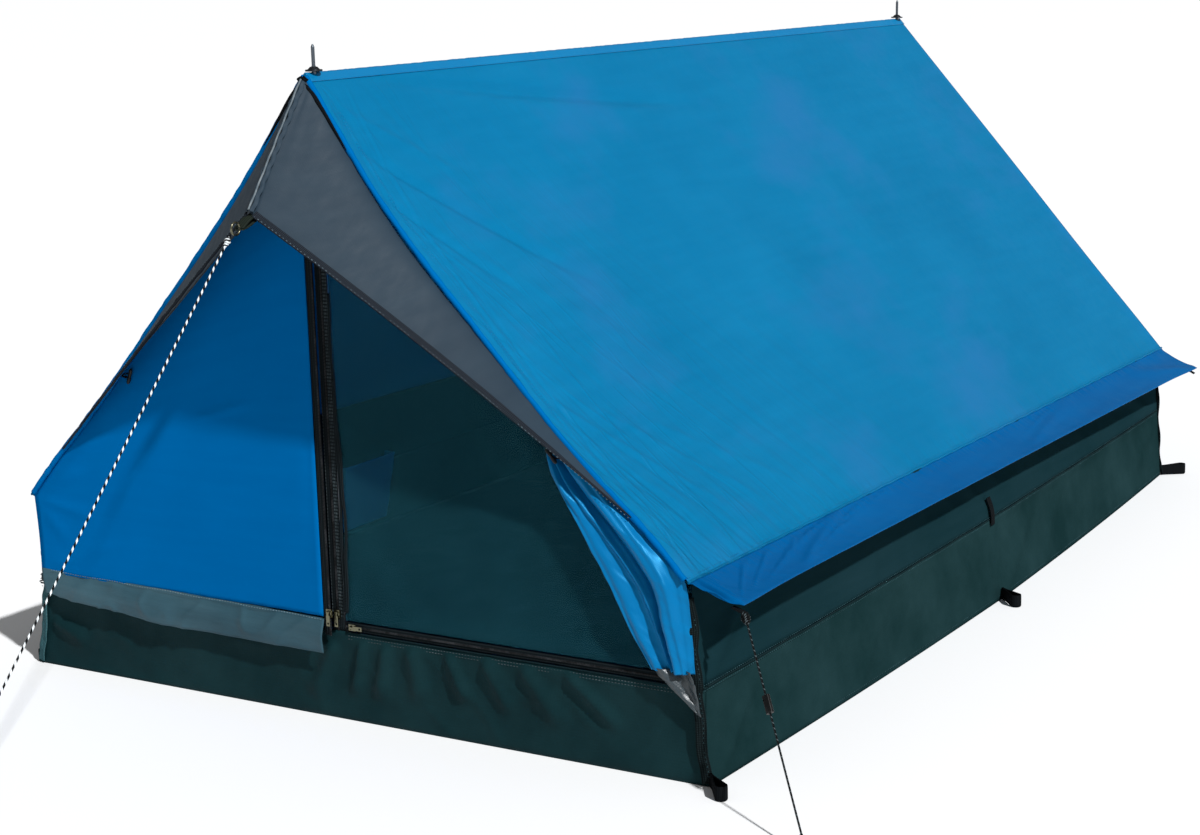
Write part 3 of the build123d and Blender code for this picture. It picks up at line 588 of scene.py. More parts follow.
def woven(name, dark, light, rough, through=0.0, crinkle=0.25, gloss=0.2, painted_sheen=None, glint=(1, 1, 1, 1), drawn=0.0):
    """Thin plain-weave cloth with a coated back: threads both ways, faint crinkles, uneven dye.

    through is the share of light it lets through, painted_sheen the colour of pale clouds of painted reflection in
    its colour, glint that of its shine, and drawn the height of the fine folds where it is pulled tight.
    """
    finish = Finish(name, Roughness=rough, Specular_IOR_Level=gloss, Specular_Tint=glint)
    across, along = (finish.threads(CLOTH_THREAD, direction) for direction in "XY")
    threads = finish.math("MULTIPLY", across, along)
    cloud = finish.noise(3.0, 5.0)
    streak = finish.noise(28.0, 3.0, vector=finish.stretched((0.18, 1.6, 1), 6))
    tone = finish.math("ADD", finish.math("MULTIPLY", cloud, 0.7), finish.math("MULTIPLY", streak, 0.3))
    tint = finish.blend(finish.range(tone, 0, 1, 0.32, 0.68), dark, light)
    # Pale clouds of painted reflection, mixed into the cloth's colour.
    if painted_sheen:
        sheen_patches = finish.noise(2.6, 4.0, 0.6, finish.stretched((0.8, 1.2, 1), 20))
        tint = finish.blend(finish.range(sheen_patches, 0, 0.8, 0.50, 0.66), tint, painted_sheen)
    finish.colour(tint)
    finish.roughness(finish.range(finish.noise(45.0, 4.0), rough - 0.05, rough + 0.07, 0.3, 0.7))
    finish.bump(threads, 0.35, 0.00018)
    folds = finish.noise(38.0, 5.0, 0.6, finish.stretched((0.45, 1.3, 1), 24))
    finish.bump(folds, crinkle, 0.0016)
    if drawn:
        finish.bump(finish.pulled_lines(), 1.0, drawn)
    if through:
        finish.translucent(through)
    return finish.material


def coated(name, dark, light, rough, gloss=0.03):
    """Heavy tarpaulin: coarse flat tapes, creases pressed in by folding, uneven dye."""
    finish = Finish(name, Roughness=rough, Specular_IOR_Level=gloss)
    across, along = (finish.threads(TARPAULIN_TAPE, direction) for direction in "XY")
    tapes = finish.math("ADD", across, along)
    cloud = finish.noise(5.0, 6.0, 0.6)
    finish.colour(finish.blend(finish.range(cloud, 0, 1, 0.36, 0.66), dark, light))
    finish.roughness(finish.range(finish.noise(24.0, 5.0), rough - 0.1, rough + 0.12, 0.3, 0.7))
    finish.bump(tapes, 0.3, 0.0002)
    finish.bump(finish.noise(16.0, 6.0, 0.62), 0.4, 0.006)
    finish.bump(finish.noise(60.0, 4.0, 0.6), 0.25, 0.0015)
    return finish.material


def netting(name, colour, light, alpha):
    """Insect mesh: see-through cloth of fine dark yarn."""
    finish = Finish(name, Roughness=0.7, Alpha=alpha, Specular_IOR_Level=0.0)
    across, along = (finish.threads(NET_THREAD, direction) for direction in "XY")
    holes = finish.math("MULTIPLY", across, along)
    tone = finish.math("ADD", finish.math("MULTIPLY", holes, 0.5),
                       finish.math("MULTIPLY", finish.noise(6.0, 4.0), 0.6))
    finish.colour(finish.blend(finish.range(tone, 0, 1, 0.2, 0.8), colour, light))
    finish.bump(holes, 0.5, 0.0003)
    return finish.material


def webbing_finish(name, dark, light, rib=0.0021):
    """Narrow woven tape with ribs along it and a fuzzy surface."""
    finish = Finish(name, Roughness=0.85, Specular_IOR_Level=0.02)
    ribs = finish.threads(rib, "Y")
    picks = finish.threads(WEBBING_PICK, "X", 1.0)
    fuzz = finish.noise(900.0, 4.0, 0.7)
    tone = finish.math("ADD", finish.math("MULTIPLY", finish.math("MULTIPLY", ribs, picks), 0.6),
                       finish.math("MULTIPLY", fuzz, 0.5))
    finish.colour(finish.blend(finish.range(tone, 0, 1, 0.15, 0.85), dark, light))
    finish.bump(tone, 0.6, 0.0004)
    return finish.material


def metal(name, colour, rough):
    """Bare metal: fine lengthwise scratches and faint stains."""
    finish = Finish(name, "Object", Metallic=1.0, Roughness=rough)
    scratches = finish.noise(260.0, 4.0, 0.6, finish.stretched((1, 1, 0.06)))
    stain = finish.noise(22.0, 5.0)
    finish.colour(finish.blend(finish.range(stain, 0, 1, 0.35, 0.7), colour,
                               tuple(c * 0.72 for c in colour[:3]) + (1,)))
    finish.roughness(finish.range(scratches, rough - 0.08, rough + 0.14, 0.3, 0.7))
    finish.bump(scratches, 0.15, 0.0002)
    return finish.material


def moulded(name, colour, rough, light):
    """Moulded plastic or rubber: fine grain, paler on worn places."""
    finish = Finish(name, "Object", Roughness=rough, Specular_IOR_Level=0.2)
    wear = finish.noise(60.0, 6.0, 0.65)
    finish.colour(finish.blend(finish.range(wear, 0, 1, 0.45, 0.8), colour, light))
    finish.roughness(finish.range(wear, rough - 0.08, rough + 0.1, 0.3, 0.7))
    finish.bump(finish.noise(1400.0, 3.0), 0.25, 0.0002)
    return finish.material


def tracer_cord(name, dark, bright, pitch, share):
    """Braided guy cord with a bright tracer that shows as dashes."""
    finish = Finish(name, Roughness=0.75, Specular_IOR_Level=0.1)
    split = finish.node("ShaderNodeSeparateXYZ")
    finish.feed(finish.place, split.inputs[0])
    turns = finish.math("DIVIDE", split.outputs[0], pitch)
    phase = finish.math("FRACT", finish.math("ADD", turns, split.outputs[1]))
    dash = finish.math("LESS_THAN", phase, share)
    fibres = finish.noise(2500.0, 2.0)
    body = finish.blend(fibres, dark, tuple(c * 1.8 for c in dark[:3]) + (1,))
    finish.colour(finish.blend(dash, body, bright))
    finish.bump(fibres, 0.5, 0.0003)
    return finish.material


# The roof's cloth has pale clouds of painted reflection in its colour.
ROOF_BLUE = woven("roof_polyester", srgb(6, 137, 190), srgb(18, 150, 203), 0.40, through=0.5, gloss=0.16,
                  painted_sheen=srgb(44, 142, 202), glint=(0.2, 0.6, 1, 1), drawn=0.0034)
# The eave flaps are the roof's cloth, painted darker to stand for the shade on them: painted shade.
SHADED_FLAP_BLUE = woven("eave_polyester_painted_shade", srgb(2, 84, 144), srgb(2, 96, 158), 0.34, through=0.16, gloss=0.03,
                  glint=(0.1, 0.5, 1, 1))
DOOR_BLUE = woven("door_polyester", srgb(0, 103, 173), srgb(0, 111, 183), 0.45, through=0.22, crinkle=0.2, gloss=0.0)
POCKET_BLUE = woven("pocket_polyester", srgb(30, 180, 245), srgb(50, 195, 255), 0.45, gloss=0.0)
SATIN_BLUE = woven("door_lining_satin", srgb(4, 102, 158), srgb(6, 118, 176), 0.34, through=0.12, crinkle=0.4,
                   gloss=0.5, glint=(0.12, 0.6, 1, 1))
BEAK_GREY = woven("beak_polyester", srgb(38, 52, 64), srgb(46, 61, 73), 0.55, crinkle=0.3, gloss=0.1)
FLAP_GREY = woven("door_flap_polyester", srgb(32, 62, 74), srgb(66, 98, 110), 0.5, crinkle=1.2, gloss=0.15)
# The tied door's flap is the closed door flap's grey cloth, painted darker to stand for the shade it hangs in: painted
# shade.
SHADED_CRUMPLED_GREY = woven("tied_flap_polyester_painted_shade", srgb(30, 42, 48), srgb(58, 70, 76), 0.36, crinkle=1.2, gloss=0.6)
TUB_GREEN = coated("tub_tarpaulin", srgb(12, 37, 41), srgb(22, 49, 53), 0.5)
# The side walls are the tub's tarpaulin in a tone of their own, painted to stand for the shade on the sides: painted
# shade.
SHADED_TUB_SIDE = coated("tub_tarpaulin_sides_painted_shade", srgb(18, 40, 42), srgb(30, 53, 56), 0.5, gloss=0.0)
STRIP_TEAL = woven("side_polyester", srgb(14, 38, 43), srgb(24, 47, 53), 0.5, crinkle=0.6, gloss=0.0)
NET = netting("insect_mesh", srgb(24, 66, 78), srgb(40, 94, 108), 0.29)
VENT_NET = netting("vent_mesh", srgb(14, 22, 26), srgb(34, 46, 52), 0.72)
TAPE_BLACK = webbing_finish("zip_tape", srgb(6, 10, 12), srgb(40, 48, 52), 0.0016)
WEB_BLACK = webbing_finish("black_webbing", srgb(4, 6, 8), srgb(30, 33, 36))
WEB_OLIVE = webbing_finish("olive_webbing", srgb(18, 24, 22), srgb(50, 58, 50))
HEM_FUZZ = webbing_finish("hem_tape", srgb(16, 20, 26), srgb(52, 58, 66), 0.0012)
SEAM_DARK = webbing_finish("seam_tape", srgb(4, 18, 22), srgb(36, 56, 60), 0.0016)
SEAM_BLUE = woven("ridge_tape_polyester", srgb(0, 104, 156), srgb(0, 116, 166), 0.42, crinkle=0.3)
PIPING = moulded("piping", srgb(88, 100, 108), 0.6, srgb(140, 148, 152))
THREAD_LIGHT = moulded("pale_thread", srgb(96, 116, 126), 0.7, srgb(140, 158, 168))
THREAD_TEAL = moulded("teal_thread", srgb(24, 56, 62), 0.7, srgb(60, 96, 104))
THREAD_GREY = moulded("grey_thread", srgb(58, 70, 74), 0.7, srgb(96, 110, 114))
THREAD_BLUE = moulded("blue_thread", srgb(10, 116, 172), 0.6, srgb(60, 150, 200))
COIL_BLACK = moulded("zip_coil", srgb(12, 13, 15), 0.45, srgb(66, 69, 73))
RUBBER = moulded("foot_rubber_black", srgb(20, 20, 21), 0.8, srgb(44, 44, 46))
PLASTIC = moulded("black_plastic", srgb(14, 15, 16), 0.35, srgb(40, 42, 44))
STEEL = metal("galvanised_steel", srgb(176, 180, 184), 0.34)
SPIKE_STEEL = metal("grey_spike", srgb(96, 104, 112), 0.42)
DARK_METAL = metal("dark_washer", srgb(58, 62, 66), 0.38)
ZIP_METAL = metal("zip_metal", srgb(120, 118, 98), 0.25)
BEAK_CORD = tracer_cord("beak_guy_cord", srgb(6, 8, 10), srgb(225, 232, 236), 0.0120, 0.44)
CORNER_CORD = tracer_cord("corner_guy_cord", srgb(3, 4, 5), srgb(72, 82, 86), 0.0075, 0.22)
# The front left corner's tape is the same tape as the others, painted paler to stand for the light on it: painted
# light.
LIT_EDGE_TEAL = webbing_finish("left_corner_tape_painted_light", srgb(22, 58, 66), srgb(84, 122, 128), 0.0016)
CORNER_TAPE = webbing_finish("corner_tape", srgb(4, 9, 11), srgb(34, 44, 46), 0.0016)


# ---- cords --------------------------------------------------------------------------------------
CORD = 0.003                # the guys' diameter
LOOP_RADIUS = 0.009         # of the ring on a guy's lower end
LOOP_AHEAD = 0.0115         # its middle, past the cord's end
LOW_KNOT = 0.0046
TOP_KNOT_AT, HITCH_AT = 0.009, 0.0145                 # from the cord's upper end
BEAK_GUY = [(0, -1.158, 0.721), (0, -1.1704, 0.7079), (0, -1.8056, 0.0371), (0, -1.818, 0.024)]
CORNER_GUY = [(0.657, -0.983, 0.248), (0.6656, -0.9909, 0.2343), (0.7924, -1.1081, 0.0317), (0.801, -1.116, 0.018)]


def centreline(name, points):
    """Points read from a smooth spline that has the route's points as its control points."""
    curve = bpy.data.curves.new(name, "CURVE")
    curve.dimensions, curve.resolution_u = "3D", 24
    line = curve.splines.new("NURBS")
    line.points.add(len(points) - 1)
    for point, place in zip(line.points, points):
        point.co = (*place, 1)
    line.order_u = 3
    line.use_endpoint_u = True
    carrier = bpy.data.objects.new(name, curve)
    scene.collection.objects.link(carrier)
    bpy.context.view_layer.update()
    mesh = bpy.data.meshes.new_from_object(carrier.evaluated_get(bpy.context.evaluated_depsgraph_get()))
    path = np.array([v.co for v in mesh.vertices], float)
    bpy.data.objects.remove(carrier)
    bpy.data.meshes.remove(mesh)
    return path


def resampled(path, step):
    travel = travelled(path)
    return read_at(path, travel, np.linspace(0, travel[-1], max(2, int(travel[-1] / step))))


def loop_path(centre, axis, radius):
    """A closed ring of points that starts where the cord arrives."""
    axis, side = unit(np.array(axis, float)), np.array((1.0, 0, 0))
    side = unit(side - axis * (side @ axis))
    angle = np.linspace(0, 2 * math.pi, 36, endpoint=False)[:, None]
    return np.array(centre) - axis * radius * np.cos(angle) + side * radius * np.sin(angle)


def knot_path(centre, axis, size, turns=3):
    """A tight winding round the cord, as an overhand knot shows."""
    axis = unit(np.array(axis, float))
    side = unit(np.cross(axis, (0.3, 0.9, 0.2)))
    other = np.cross(axis, side)
    k = np.linspace(0, 1, turns * 16)[:, None]
    angle = 2 * math.pi * turns * k
    swell = size * (0.45 + 0.35 * np.sin(math.pi * k))
    return np.array(centre) + axis * (k - 0.5) * size * 2 + swell * (side * np.cos(angle) + other * np.sin(angle))


def make_guy(name, points, finish, knot):
    """A taut guy: its cord, and in one piece the loop on its end, the knot above that and the knots at its top."""
    path = resampled(centreline(name + "_route", points), 0.0015)
    axis = unit(path[-1] - path[0])
    rope = tube(name + "_cord", path, CORD / 2, finish, 12, braided=True)
    loop = tube(name + "_loop", loop_path(path[-1] + axis * LOOP_AHEAD, axis, LOOP_RADIUS), CORD / 2, finish, 10,
                braided=True, closed=True)
    low = tube(name + "_low_knot", knot_path(path[-1], axis, LOW_KNOT), CORD / 2, finish, 10)
    top = tube(name + "_top_knot", knot_path(path[0] + axis * TOP_KNOT_AT, axis, knot, 4), CORD / 2, finish, 10)
    hitch = tube(name + "_hitch", knot_path(path[0] + axis * HITCH_AT, axis, knot * 0.45, 4), CORD / 2, finish, 10)
    ends = joined(name + "_knots", [loop, low, top, hitch])
    attach(rope, "root", "guy_cord", name)
    attach(ends, "root", "guy_cord", "guy_loops")


# ---- roof ---------------------------------------------------------------------------------------
ROOF_FOLDS = (((0.02, ROOF_FALL - 0.34), (0.24, ROOF_FALL - 0.02), 0.006, 0.0024, 1.6),
              ((0.10, ROOF_FALL - 0.30), (0.33, ROOF_FALL - 0.02), 0.005, 0.0018, 1.5),
              ((0.17, ROOF_FALL - 0.26), (0.46, ROOF_FALL - 0.01), 0.007, 0.0016, 1.5),
              ((0.04, 0.25), (0.42, 0.62), 0.010, 0.0014, 1.8), ((0.0, 0.002), (1.02, 0.140), 0.008, -0.0066, 1.8),
              ((0.0, 0.10), (0.36, 0.43), 0.007, -0.0048, 1.6), ((0.0, 0.18), (0.16, 0.40), 0.006, -0.0040, 1.6),
              ((0.02, 0.05), (0.24, 0.21), 0.006, 0.0022, 1.6))


def make_roof(side, cell):
    """One roof panel: sagging, with fine pulls towards its front foot and gathers along its seams."""
    def place(u, v):
        y = mix(ROOF_FRONT, ROOF_REAR, u**1.3)
        return stack(side * EAVE_X * v, y, mix(RIDGE, eave_z(y), v))

    def relief(s, t, _):
        u, v = s / ROOF_LENGTH, t / ROOF_FALL
        sag = -0.007 * np.sin(math.pi * np.clip(u, 0, 1)) ** 0.8 * np.sin(math.pi * np.clip(v, 0, 1))
        near_front = np.exp(-s / 0.45)
        near_eave = smooth((v - 0.25) / 0.75)
        sag = sag - roof_dip(side, np.clip(v, 0, 1)) * np.exp(-((s / 0.75) ** 1.6))
        pulls = noise(s, t, 0.42, 0.011, 3, 66) * (0.35 + 0.65 * near_eave) * near_front
        pulls += 0.5 * noise(s, t, 0.30, 0.006, 4, 76) * near_eave * np.exp(-s / 0.3)
        edge_folds = noise(s, t, 0.007, 0.9, 5, 4) * np.exp(-((s - 0.03) / 0.035) ** 2)
        broad = noise(s, t, 0.5, 0.16, 6, 50)
        height = sag + 0.0020 * pulls + 0.0012 * edge_folds + 0.0022 * broad * np.sin(math.pi * np.clip(v, 0, 1))
        height += pucker(s, t, ROOF_FALL, 0.02, 0.006, 0.0012, 7) * (0.4 + 0.6 * np.exp(-s / 0.5))
        height += pucker(s, t, 0.0, 0.02, 0.009, 0.0008, 8) * smooth(t / 0.012)
        hem = 1 - smooth((s - 0.026) / 0.003)
        height = creased(height + 0.0007 * hem, s, t, ROOF_FOLDS)
        return height * np.clip(1.2 - 1.2 * np.exp(-(t / 0.05) ** 2), 0, 1)

    panel = cloth("roof_cloth_" + side_name(side), place, (side, 0, 0.9), cell, ROOF_BLUE, relief)
    sew(panel, "root", "roof_fabric", "roof_panel_" + side_name(side))


# Flat facets that fan out from the front corner of the right flap, each three places along it and above its hem.
EAVE_SHARDS = (((0.000, 0.008), (0.120, 0.070), (0.152, 0.072)), ((0.035, 0.012), (0.190, 0.070), (0.222, 0.071)),
               ((0.088, 0.018), (0.285, 0.072), (0.330, 0.060)), ((0.150, 0.036), (0.340, 0.073), (0.415, 0.072)),
               ((0.265, 0.029), (0.400, 0.056), (0.440, 0.050)), ((0.330, 0.046), (0.440, 0.064), (0.560, 0.074)),
               ((0.480, 0.058), (0.590, 0.072), (0.640, 0.073)), ((1.080, 0.040), (1.300, 0.072), (1.380, 0.070)))
FLAP_FALL = 0.078           # from the eave to the hem
FLAP_CORNER = 0.012         # from the front edge to where the facets start
FLAP_FOLDS = (((0.20, FLAP_FALL - 0.012), (0.48, 0.0), 0.006, 0.0045, 2.4),
              ((0.24, FLAP_FALL - 0.02), (0.52, 0.0), 0.004, -0.003, 2.0),
              ((1.10, 0.06), (1.50, 0.0), 0.006, 0.0022, 2.0), ((2.00, FLAP_FALL), (1.72, 0.0), 0.012, 0.0035, 1.8))


def shard_share(s, up):
    """How far inside the facets a place on the flap lies, from 0 at their edges."""
    best = np.zeros_like(s)
    for (s0, h0), (s1, h1), (s2, h2) in EAVE_SHARDS:
        whole = (s1 - s0) * (h2 - h0) - (s2 - s0) * (h1 - h0)
        b = ((s - s0) * (h2 - h0) - (s2 - s0) * (up - h0)) / whole
        c = ((s1 - s0) * (up - h0) - (s - s0) * (h1 - h0)) / whole
        best = np.maximum(best, np.minimum(np.minimum(b, c), 1 - b - c))
    return best


def make_eave_flaps():
    """The right flap, pulled outwards by its guys, and the left one, hanging."""
    def right(u, v):
        u = u**1.3
        y = mix(ROOF_FRONT, ROOF_REAR, u)
        corner = np.exp(-(u / 0.05) ** 2) + np.exp(-((1 - u) / 0.05) ** 2)
        pull = mix(-0.006, 0.0, np.clip(corner, 0, 1))
        hem_x, hem_z = FLAP_HEM_X + pull, eave_z(y) - mix(FLAP_DROP_FRONT, FLAP_DROP_REAR, u)
        rounding = 0.010 * (np.exp(-(u / 0.004) ** 2)) * v**3
        return stack(mix(EAVE_X, hem_x, v), y + rounding, mix(eave_z(y), hem_z, v))

    def creases(s, t, _):
        height = 0.0012 * noise(s, t, 0.05, 0.06, 21) + pucker(s, t, 0.0, 0.014, 0.005, 0.0016, 22)
        front = np.exp(-s / 0.35)
        height += 0.0010 * noise(s, t, 0.012, 0.2, 23, -35) * front
        shard = shard_share(s - FLAP_CORNER, FLAP_FALL - t)
        ripples = np.abs((s / 0.011 + 2.0 * t / 0.011) % 2 - 1)
        height += (0.011 * shard + 0.0012 * ripples * smooth(shard / 0.10)) * front**0.2
        rolled = smooth((FLAP_CORNER + 0.6 * (FLAP_FALL - t) - s) / 0.006)
        height += 0.0030 * np.abs((s - 0.25 * (FLAP_FALL - t)) / 0.0045 % 2 - 1) * rolled
        height = creased(height, s, t, FLAP_FOLDS)
        height += 0.0045 * noise(s, t, 0.0055, 0.3, 24, 8) * np.exp(-((s / 0.020) ** 2))
        height += -0.004 * np.sin(math.pi * np.clip(t / FLAP_FALL, 0, 1)) * smooth(s / 0.1)
        return height * smooth(t / 0.006) * smooth((FLAP_FALL - t) / 0.014)

    flap = cloth("eave_flap_cloth_right", right, (0.3, 0, 1), 0.003, SHADED_FLAP_BLUE, creases)
    sew(flap, "root", "roof_fabric", "eave_flap_right")

    def left(u, v):
        y = mix(ROOF_FRONT, ROOF_REAR, u)
        foot = wall_x(y, eave_z(y) - HANGING_FLAP) + 0.008
        ripple = 0.003 * np.sin(u * 31) * v + 0.002 * np.sin(u * 57 + 1) * v
        tucked = 0.026 * smooth(v / 0.2) * (1 - u) ** 6
        return stack(-mix(EAVE_X + 0.0005, foot, v**0.7) - ripple, y + tucked, eave_z(y) - HANGING_FLAP * v)

    def ripples(s, t, _):
        waves = 0.0022 * noise(s, t, 0.05, 0.3, 31) * smooth(t / 0.05)
        return np.abs(waves) + pucker(s, t, 0.0, 0.014, 0.006, 0.001, 32)

    flap = cloth("eave_flap_cloth_left", left, (-1, 0, 0.1), 0.008, SHADED_FLAP_BLUE, ripples)
    sew(flap, "root", "roof_fabric", "eave_flap_left", held="hung")


FINE_STITCH = 0.005, 0.003, 0.0003                    # pitch, length and radius
WEATHERED_STITCH = 0.005, 0.0036, 0.0004
PEAK_BINDING_END = 0.14     # of the way down the roof's front edge


def make_roof_trim():
    """Ridge tape, rolled front edges, eave folds, seam stitches and the dark binding round the peak."""
    along = np.linspace(ROOF_FRONT, ROOF_REAR, 200)
    tape_half, lift = 0.016, 0.0016

    def ridge(u, v):
        across = (v - 0.5) * 2
        fall = np.abs(across) * tape_half
        slope = (RIDGE - EAVE_FRONT) / ROOF_FALL
        return stack(across * tape_half * 0.67, mix(ROOF_FRONT, ROOF_REAR, u), RIDGE + lift - fall * slope)

    def bumps(s, t, _):
        return pucker(s, t, tape_half, 0.03, 0.007, 0.0003, 41)

    tape = cloth("ridge_tape_cloth", ridge, (0, 0, 1), 0.004, SEAM_BLUE, bumps, cells=(420, 10), thickness=0.0008)
    sew(tape, "root", "seam_tape", "ridge_tape")
    for side, label in SIDES:
        share = np.linspace(0.004, 0.993, 260)
        edge = stack(side * EAVE_X * share, ROOF_FRONT + 0 * share, mix(RIDGE, EAVE_FRONT, share))
        edge += inward(side) * (roof_dip(side, share) + 0.0010)[:, None]
        edge[:, 1] += 0.0006 * noise(share, 0 * share, 0.02, 1, 42 + side)
        thick = 0.0042 + 0.0005 * noise(share, 0 * share, 0.012, 1, 44 + side)
        roll = tube("roof_edge_roll_" + label, edge, thick, DOOR_BLUE, 10)
        attach(roll, "root", "seam_tape", "roof_edge_binding")
        outward = (side * (RIDGE - EAVE_FRONT), 0, EAVE_X)
        inner = edge + np.array([0, 0.027, 0.0012])
        rows = stitches("roof_hem_stitches_" + label, inner, outward, THREAD_BLUE, *FINE_STITCH, (0, 0.004))
        attach(rows, "root", "seam_tape")
        eave = stack(side * (EAVE_X + 0.0004), along, eave_z(along) + 0.0006 + 0.0004 * np.sin(along * 97))
        attach(tube("eave_fold_" + label, eave, 0.0019, ROOF_BLUE, 8), "root", "seam_tape")
        eave = stack(side * (EAVE_X - 0.004), along, eave_z(along) + 0.0052)
        rows = stitches("eave_stitches_" + label, eave, outward, THREAD_BLUE, *FINE_STITCH, (0, 0.005))
        attach(rows, "root", "seam_tape")
        down = np.linspace(0, PEAK_BINDING_END, 50)
        peak = stack(side * EAVE_X * down, ROOF_FRONT - 0.0046, mix(RIDGE, EAVE_FRONT, down))
        peak += inward(side) * (roof_dip(side, down) + 0.0015 + 0.0060 * np.exp(-((down / 0.03) ** 2)))[:, None]
        taper = 1 - 0.85 * down / PEAK_BINDING_END
        bound = tube("peak_binding_" + label, peak, 0.0046 * taper, WEB_BLACK, 8)
        attach(bound, "root", "seam_tape")


# ---- side walls and floor -----------------------------------------------------------------------
TUB_FOLDS = (((0.975, 0.0), (0.78, 0.12), 0.012, 0.004, 1.5), ((0.975, 0.0), (1.20, 0.12), 0.012, 0.004, 1.5),
             ((0.0, 0.0), (0.16, 0.12), 0.008, 0.004, 1.6), ((1.95, 0.0), (1.70, 0.12), 0.012, 0.004, 1.6))
STRIP_FOLDS = (((0.02, 0.0), (0.20, 0.13), 0.012, 0.005, 1.7), ((1.0, 0.0), (0.86, 0.13), 0.010, 0.004, 1.5),
               ((1.92, 0.0), (1.62, 0.13), 0.012, 0.005, 1.7))


def make_side(side):
    """A side wall: the tub below, the strip above it, and the seams between and below them."""
    label = side_name(side)

    def wall(low, high_at):
        def place(u, v):
            z = mix(low, high_at(mix(FRONT, REAR, u)), v)
            y = mix(FRONT, rear_y(z), u)
            return stack(side * wall_x(y, z, side), y, z)
        return place

    def tub_relief(s, t, _):
        ends = fades(s, 1.95, 0.05)
        height = 0.0045 * noise(s, t, 0.30, 0.10, 51) + 0.0030 * (ridged(s, t, 0.16, 0.09, 52, 30) - 0.3)
        height += 0.0012 * (ridged(s, t, 0.07, 0.03, 53, -20) - 0.3)
        return creased(height, s, t, TUB_FOLDS) * ends * smooth(t / 0.012) * smooth((0.131 - t) / 0.012)

    tub = cloth("tub_cloth_" + label, wall(0.0, lambda y: SEAM), (side, 0, 0), 0.007, SHADED_TUB_SIDE, tub_relief)
    sew(tub, "root", "tub_fabric", "tub_wall_" + label)

    def strip_relief(s, t, _):
        ends = fades(s, 1.96, 0.04)
        height = -0.006 * np.sin(math.pi * np.clip(t / 0.135, 0, 1)) * ends
        height += 0.0030 * noise(s, t, 0.16, 0.10, 54, 25) + 0.0022 * (ridged(s, t, 0.13, 0.05, 55, -30) - 0.3)
        return creased(height, s, t, STRIP_FOLDS) * ends * smooth(t / 0.012)

    strip = cloth("side_strip_cloth_" + label, wall(SEAM, eave_z), (side, 0, 0), 0.007, STRIP_TEAL, strip_relief)
    sew(strip, "root", "strip_fabric", "side_strip_" + label)
    along = np.linspace(FRONT + 0.004, rear_y(SEAM) - 0.004, 260)
    for level, height, rows in (("upper", SEAM + 0.003, (0.0, 0.007)), ("lower", 0.007, (0.0,))):
        line = stack(side * (wall_x(along, height) + 0.0006), along, np.full_like(along, height))
        seam = stitches(f"{level}_seam_stitches_{label}", line, (side, 0, 0.1), THREAD_TEAL, 0.0055, 0.0036,
                        0.0005, rows)
        attach(seam, "root", "seam_tape")
    line = stack(side * (wall_x(along, SEAM) + 0.0006), along, SEAM + 0.0006 * np.sin(along * 40))
    fold = tube("tub_seam_piping_" + label, line, 0.0011, SEAM_DARK, 8)
    attach(fold, "root", "seam_tape")


def make_floor_sheet():
    """The groundsheet, which is the tub's floor."""
    def place(u, v):
        y = mix(FRONT + 0.001, REAR - 0.001, v)
        return stack(mix(-1, 1, u) * (foot_x(y) - 0.001), y, 0.0017 + 0 * y)

    def wrinkles(s, t, _):
        return np.abs(0.0008 * noise(s, t, 0.12, 0.2, 61)) * 0.5

    floor = cloth("groundsheet_cloth", place, (0, 0, 1), 0.02, TUB_GREEN, wrinkles, thickness=0.0016)
    sew(floor, "root", "tub_fabric", "groundsheet", held="laid")


# ---- front wall ---------------------------------------------------------------------------------
def make_tub_ends():
    """The low front and rear walls of the tub."""
    def front(u, v):
        z = mix(0.0, SEAM, v)
        left, right = -wall_x(FRONT, z, -1), wall_x(FRONT, z, 1)
        return out(mix(left + 0.0015, right - 0.0015, u), 0, z)

    def front_relief(s, t, _):
        x = s - FLOOR_HALF
        edge = fades(s, 1.2, 0.03) * fades(t, SEAM, 0.01)
        height = -0.004 * np.sin(math.pi * t / SEAM) + 0.0030 * noise(s, t, 0.20, 0.09, 71)
        height += 0.0022 * (ridged(s, t, 0.10, 0.06, 72, -40) - 0.3)
        folds = ((0.02, 0.128, 0.01, 0.03), (0.06, 0.128, 0.055, 0.03), (0.10, 0.128, 0.13, 0.04),
                 (0.16, 0.128, 0.21, 0.05), (0.22, 0.128, 0.285, 0.045), (0.28, 0.128, 0.37, 0.04),
                 (0.35, 0.128, 0.46, 0.05), (-0.59, 0.075, -0.50, 0.045), (-0.03, 0.12, -0.06, 0.02))
        for number, (x0, z0, x1, z1) in enumerate(folds):
            height += crease(x, t, (x0, z0), (x1, z1), 0.007 + 0.002 * (number % 3), 0.0085, 1.6)
        return height * edge

    tub = cloth("tub_cloth_front", front, (0, -1, 0), 0.005, TUB_GREEN, front_relief)
    sew(tub, "root", "tub_fabric", "tub_wall_front")

    def rear(u, v):
        z = mix(0.0, SEAM, v)
        return stack(mix(-1, 1, u) * (wall_x(REAR, z) - 0.0015), rear_y(z), z)

    def rear_relief(s, t, _):
        height = 0.0035 * noise(s, t, 0.2, 0.09, 73) + 0.0024 * (ridged(s, t, 0.12, 0.06, 74, 35) - 0.3)
        return height * fades(s, 1.2, 0.03) * smooth(t / 0.01)

    tub = cloth("tub_cloth_rear", rear, (0, 1, 0), 0.008, TUB_GREEN, rear_relief)
    sew(tub, "root", "tub_fabric", "tub_wall_rear")


def end_panel(edge_x, low, side, distance):
    """Half of an end wall between a free edge near the middle and the wall and roof."""
    top = RIDGE - (edge_x + INSET) * (RIDGE - EAVE_FRONT) / EAVE_X - 0.002

    def place(u, v):
        z = mix(low, top, v)
        far = np.maximum(half_width(FRONT, z, side) - INSET, edge_x)
        return out(side * mix(edge_x, far, u), distance, z)
    return place


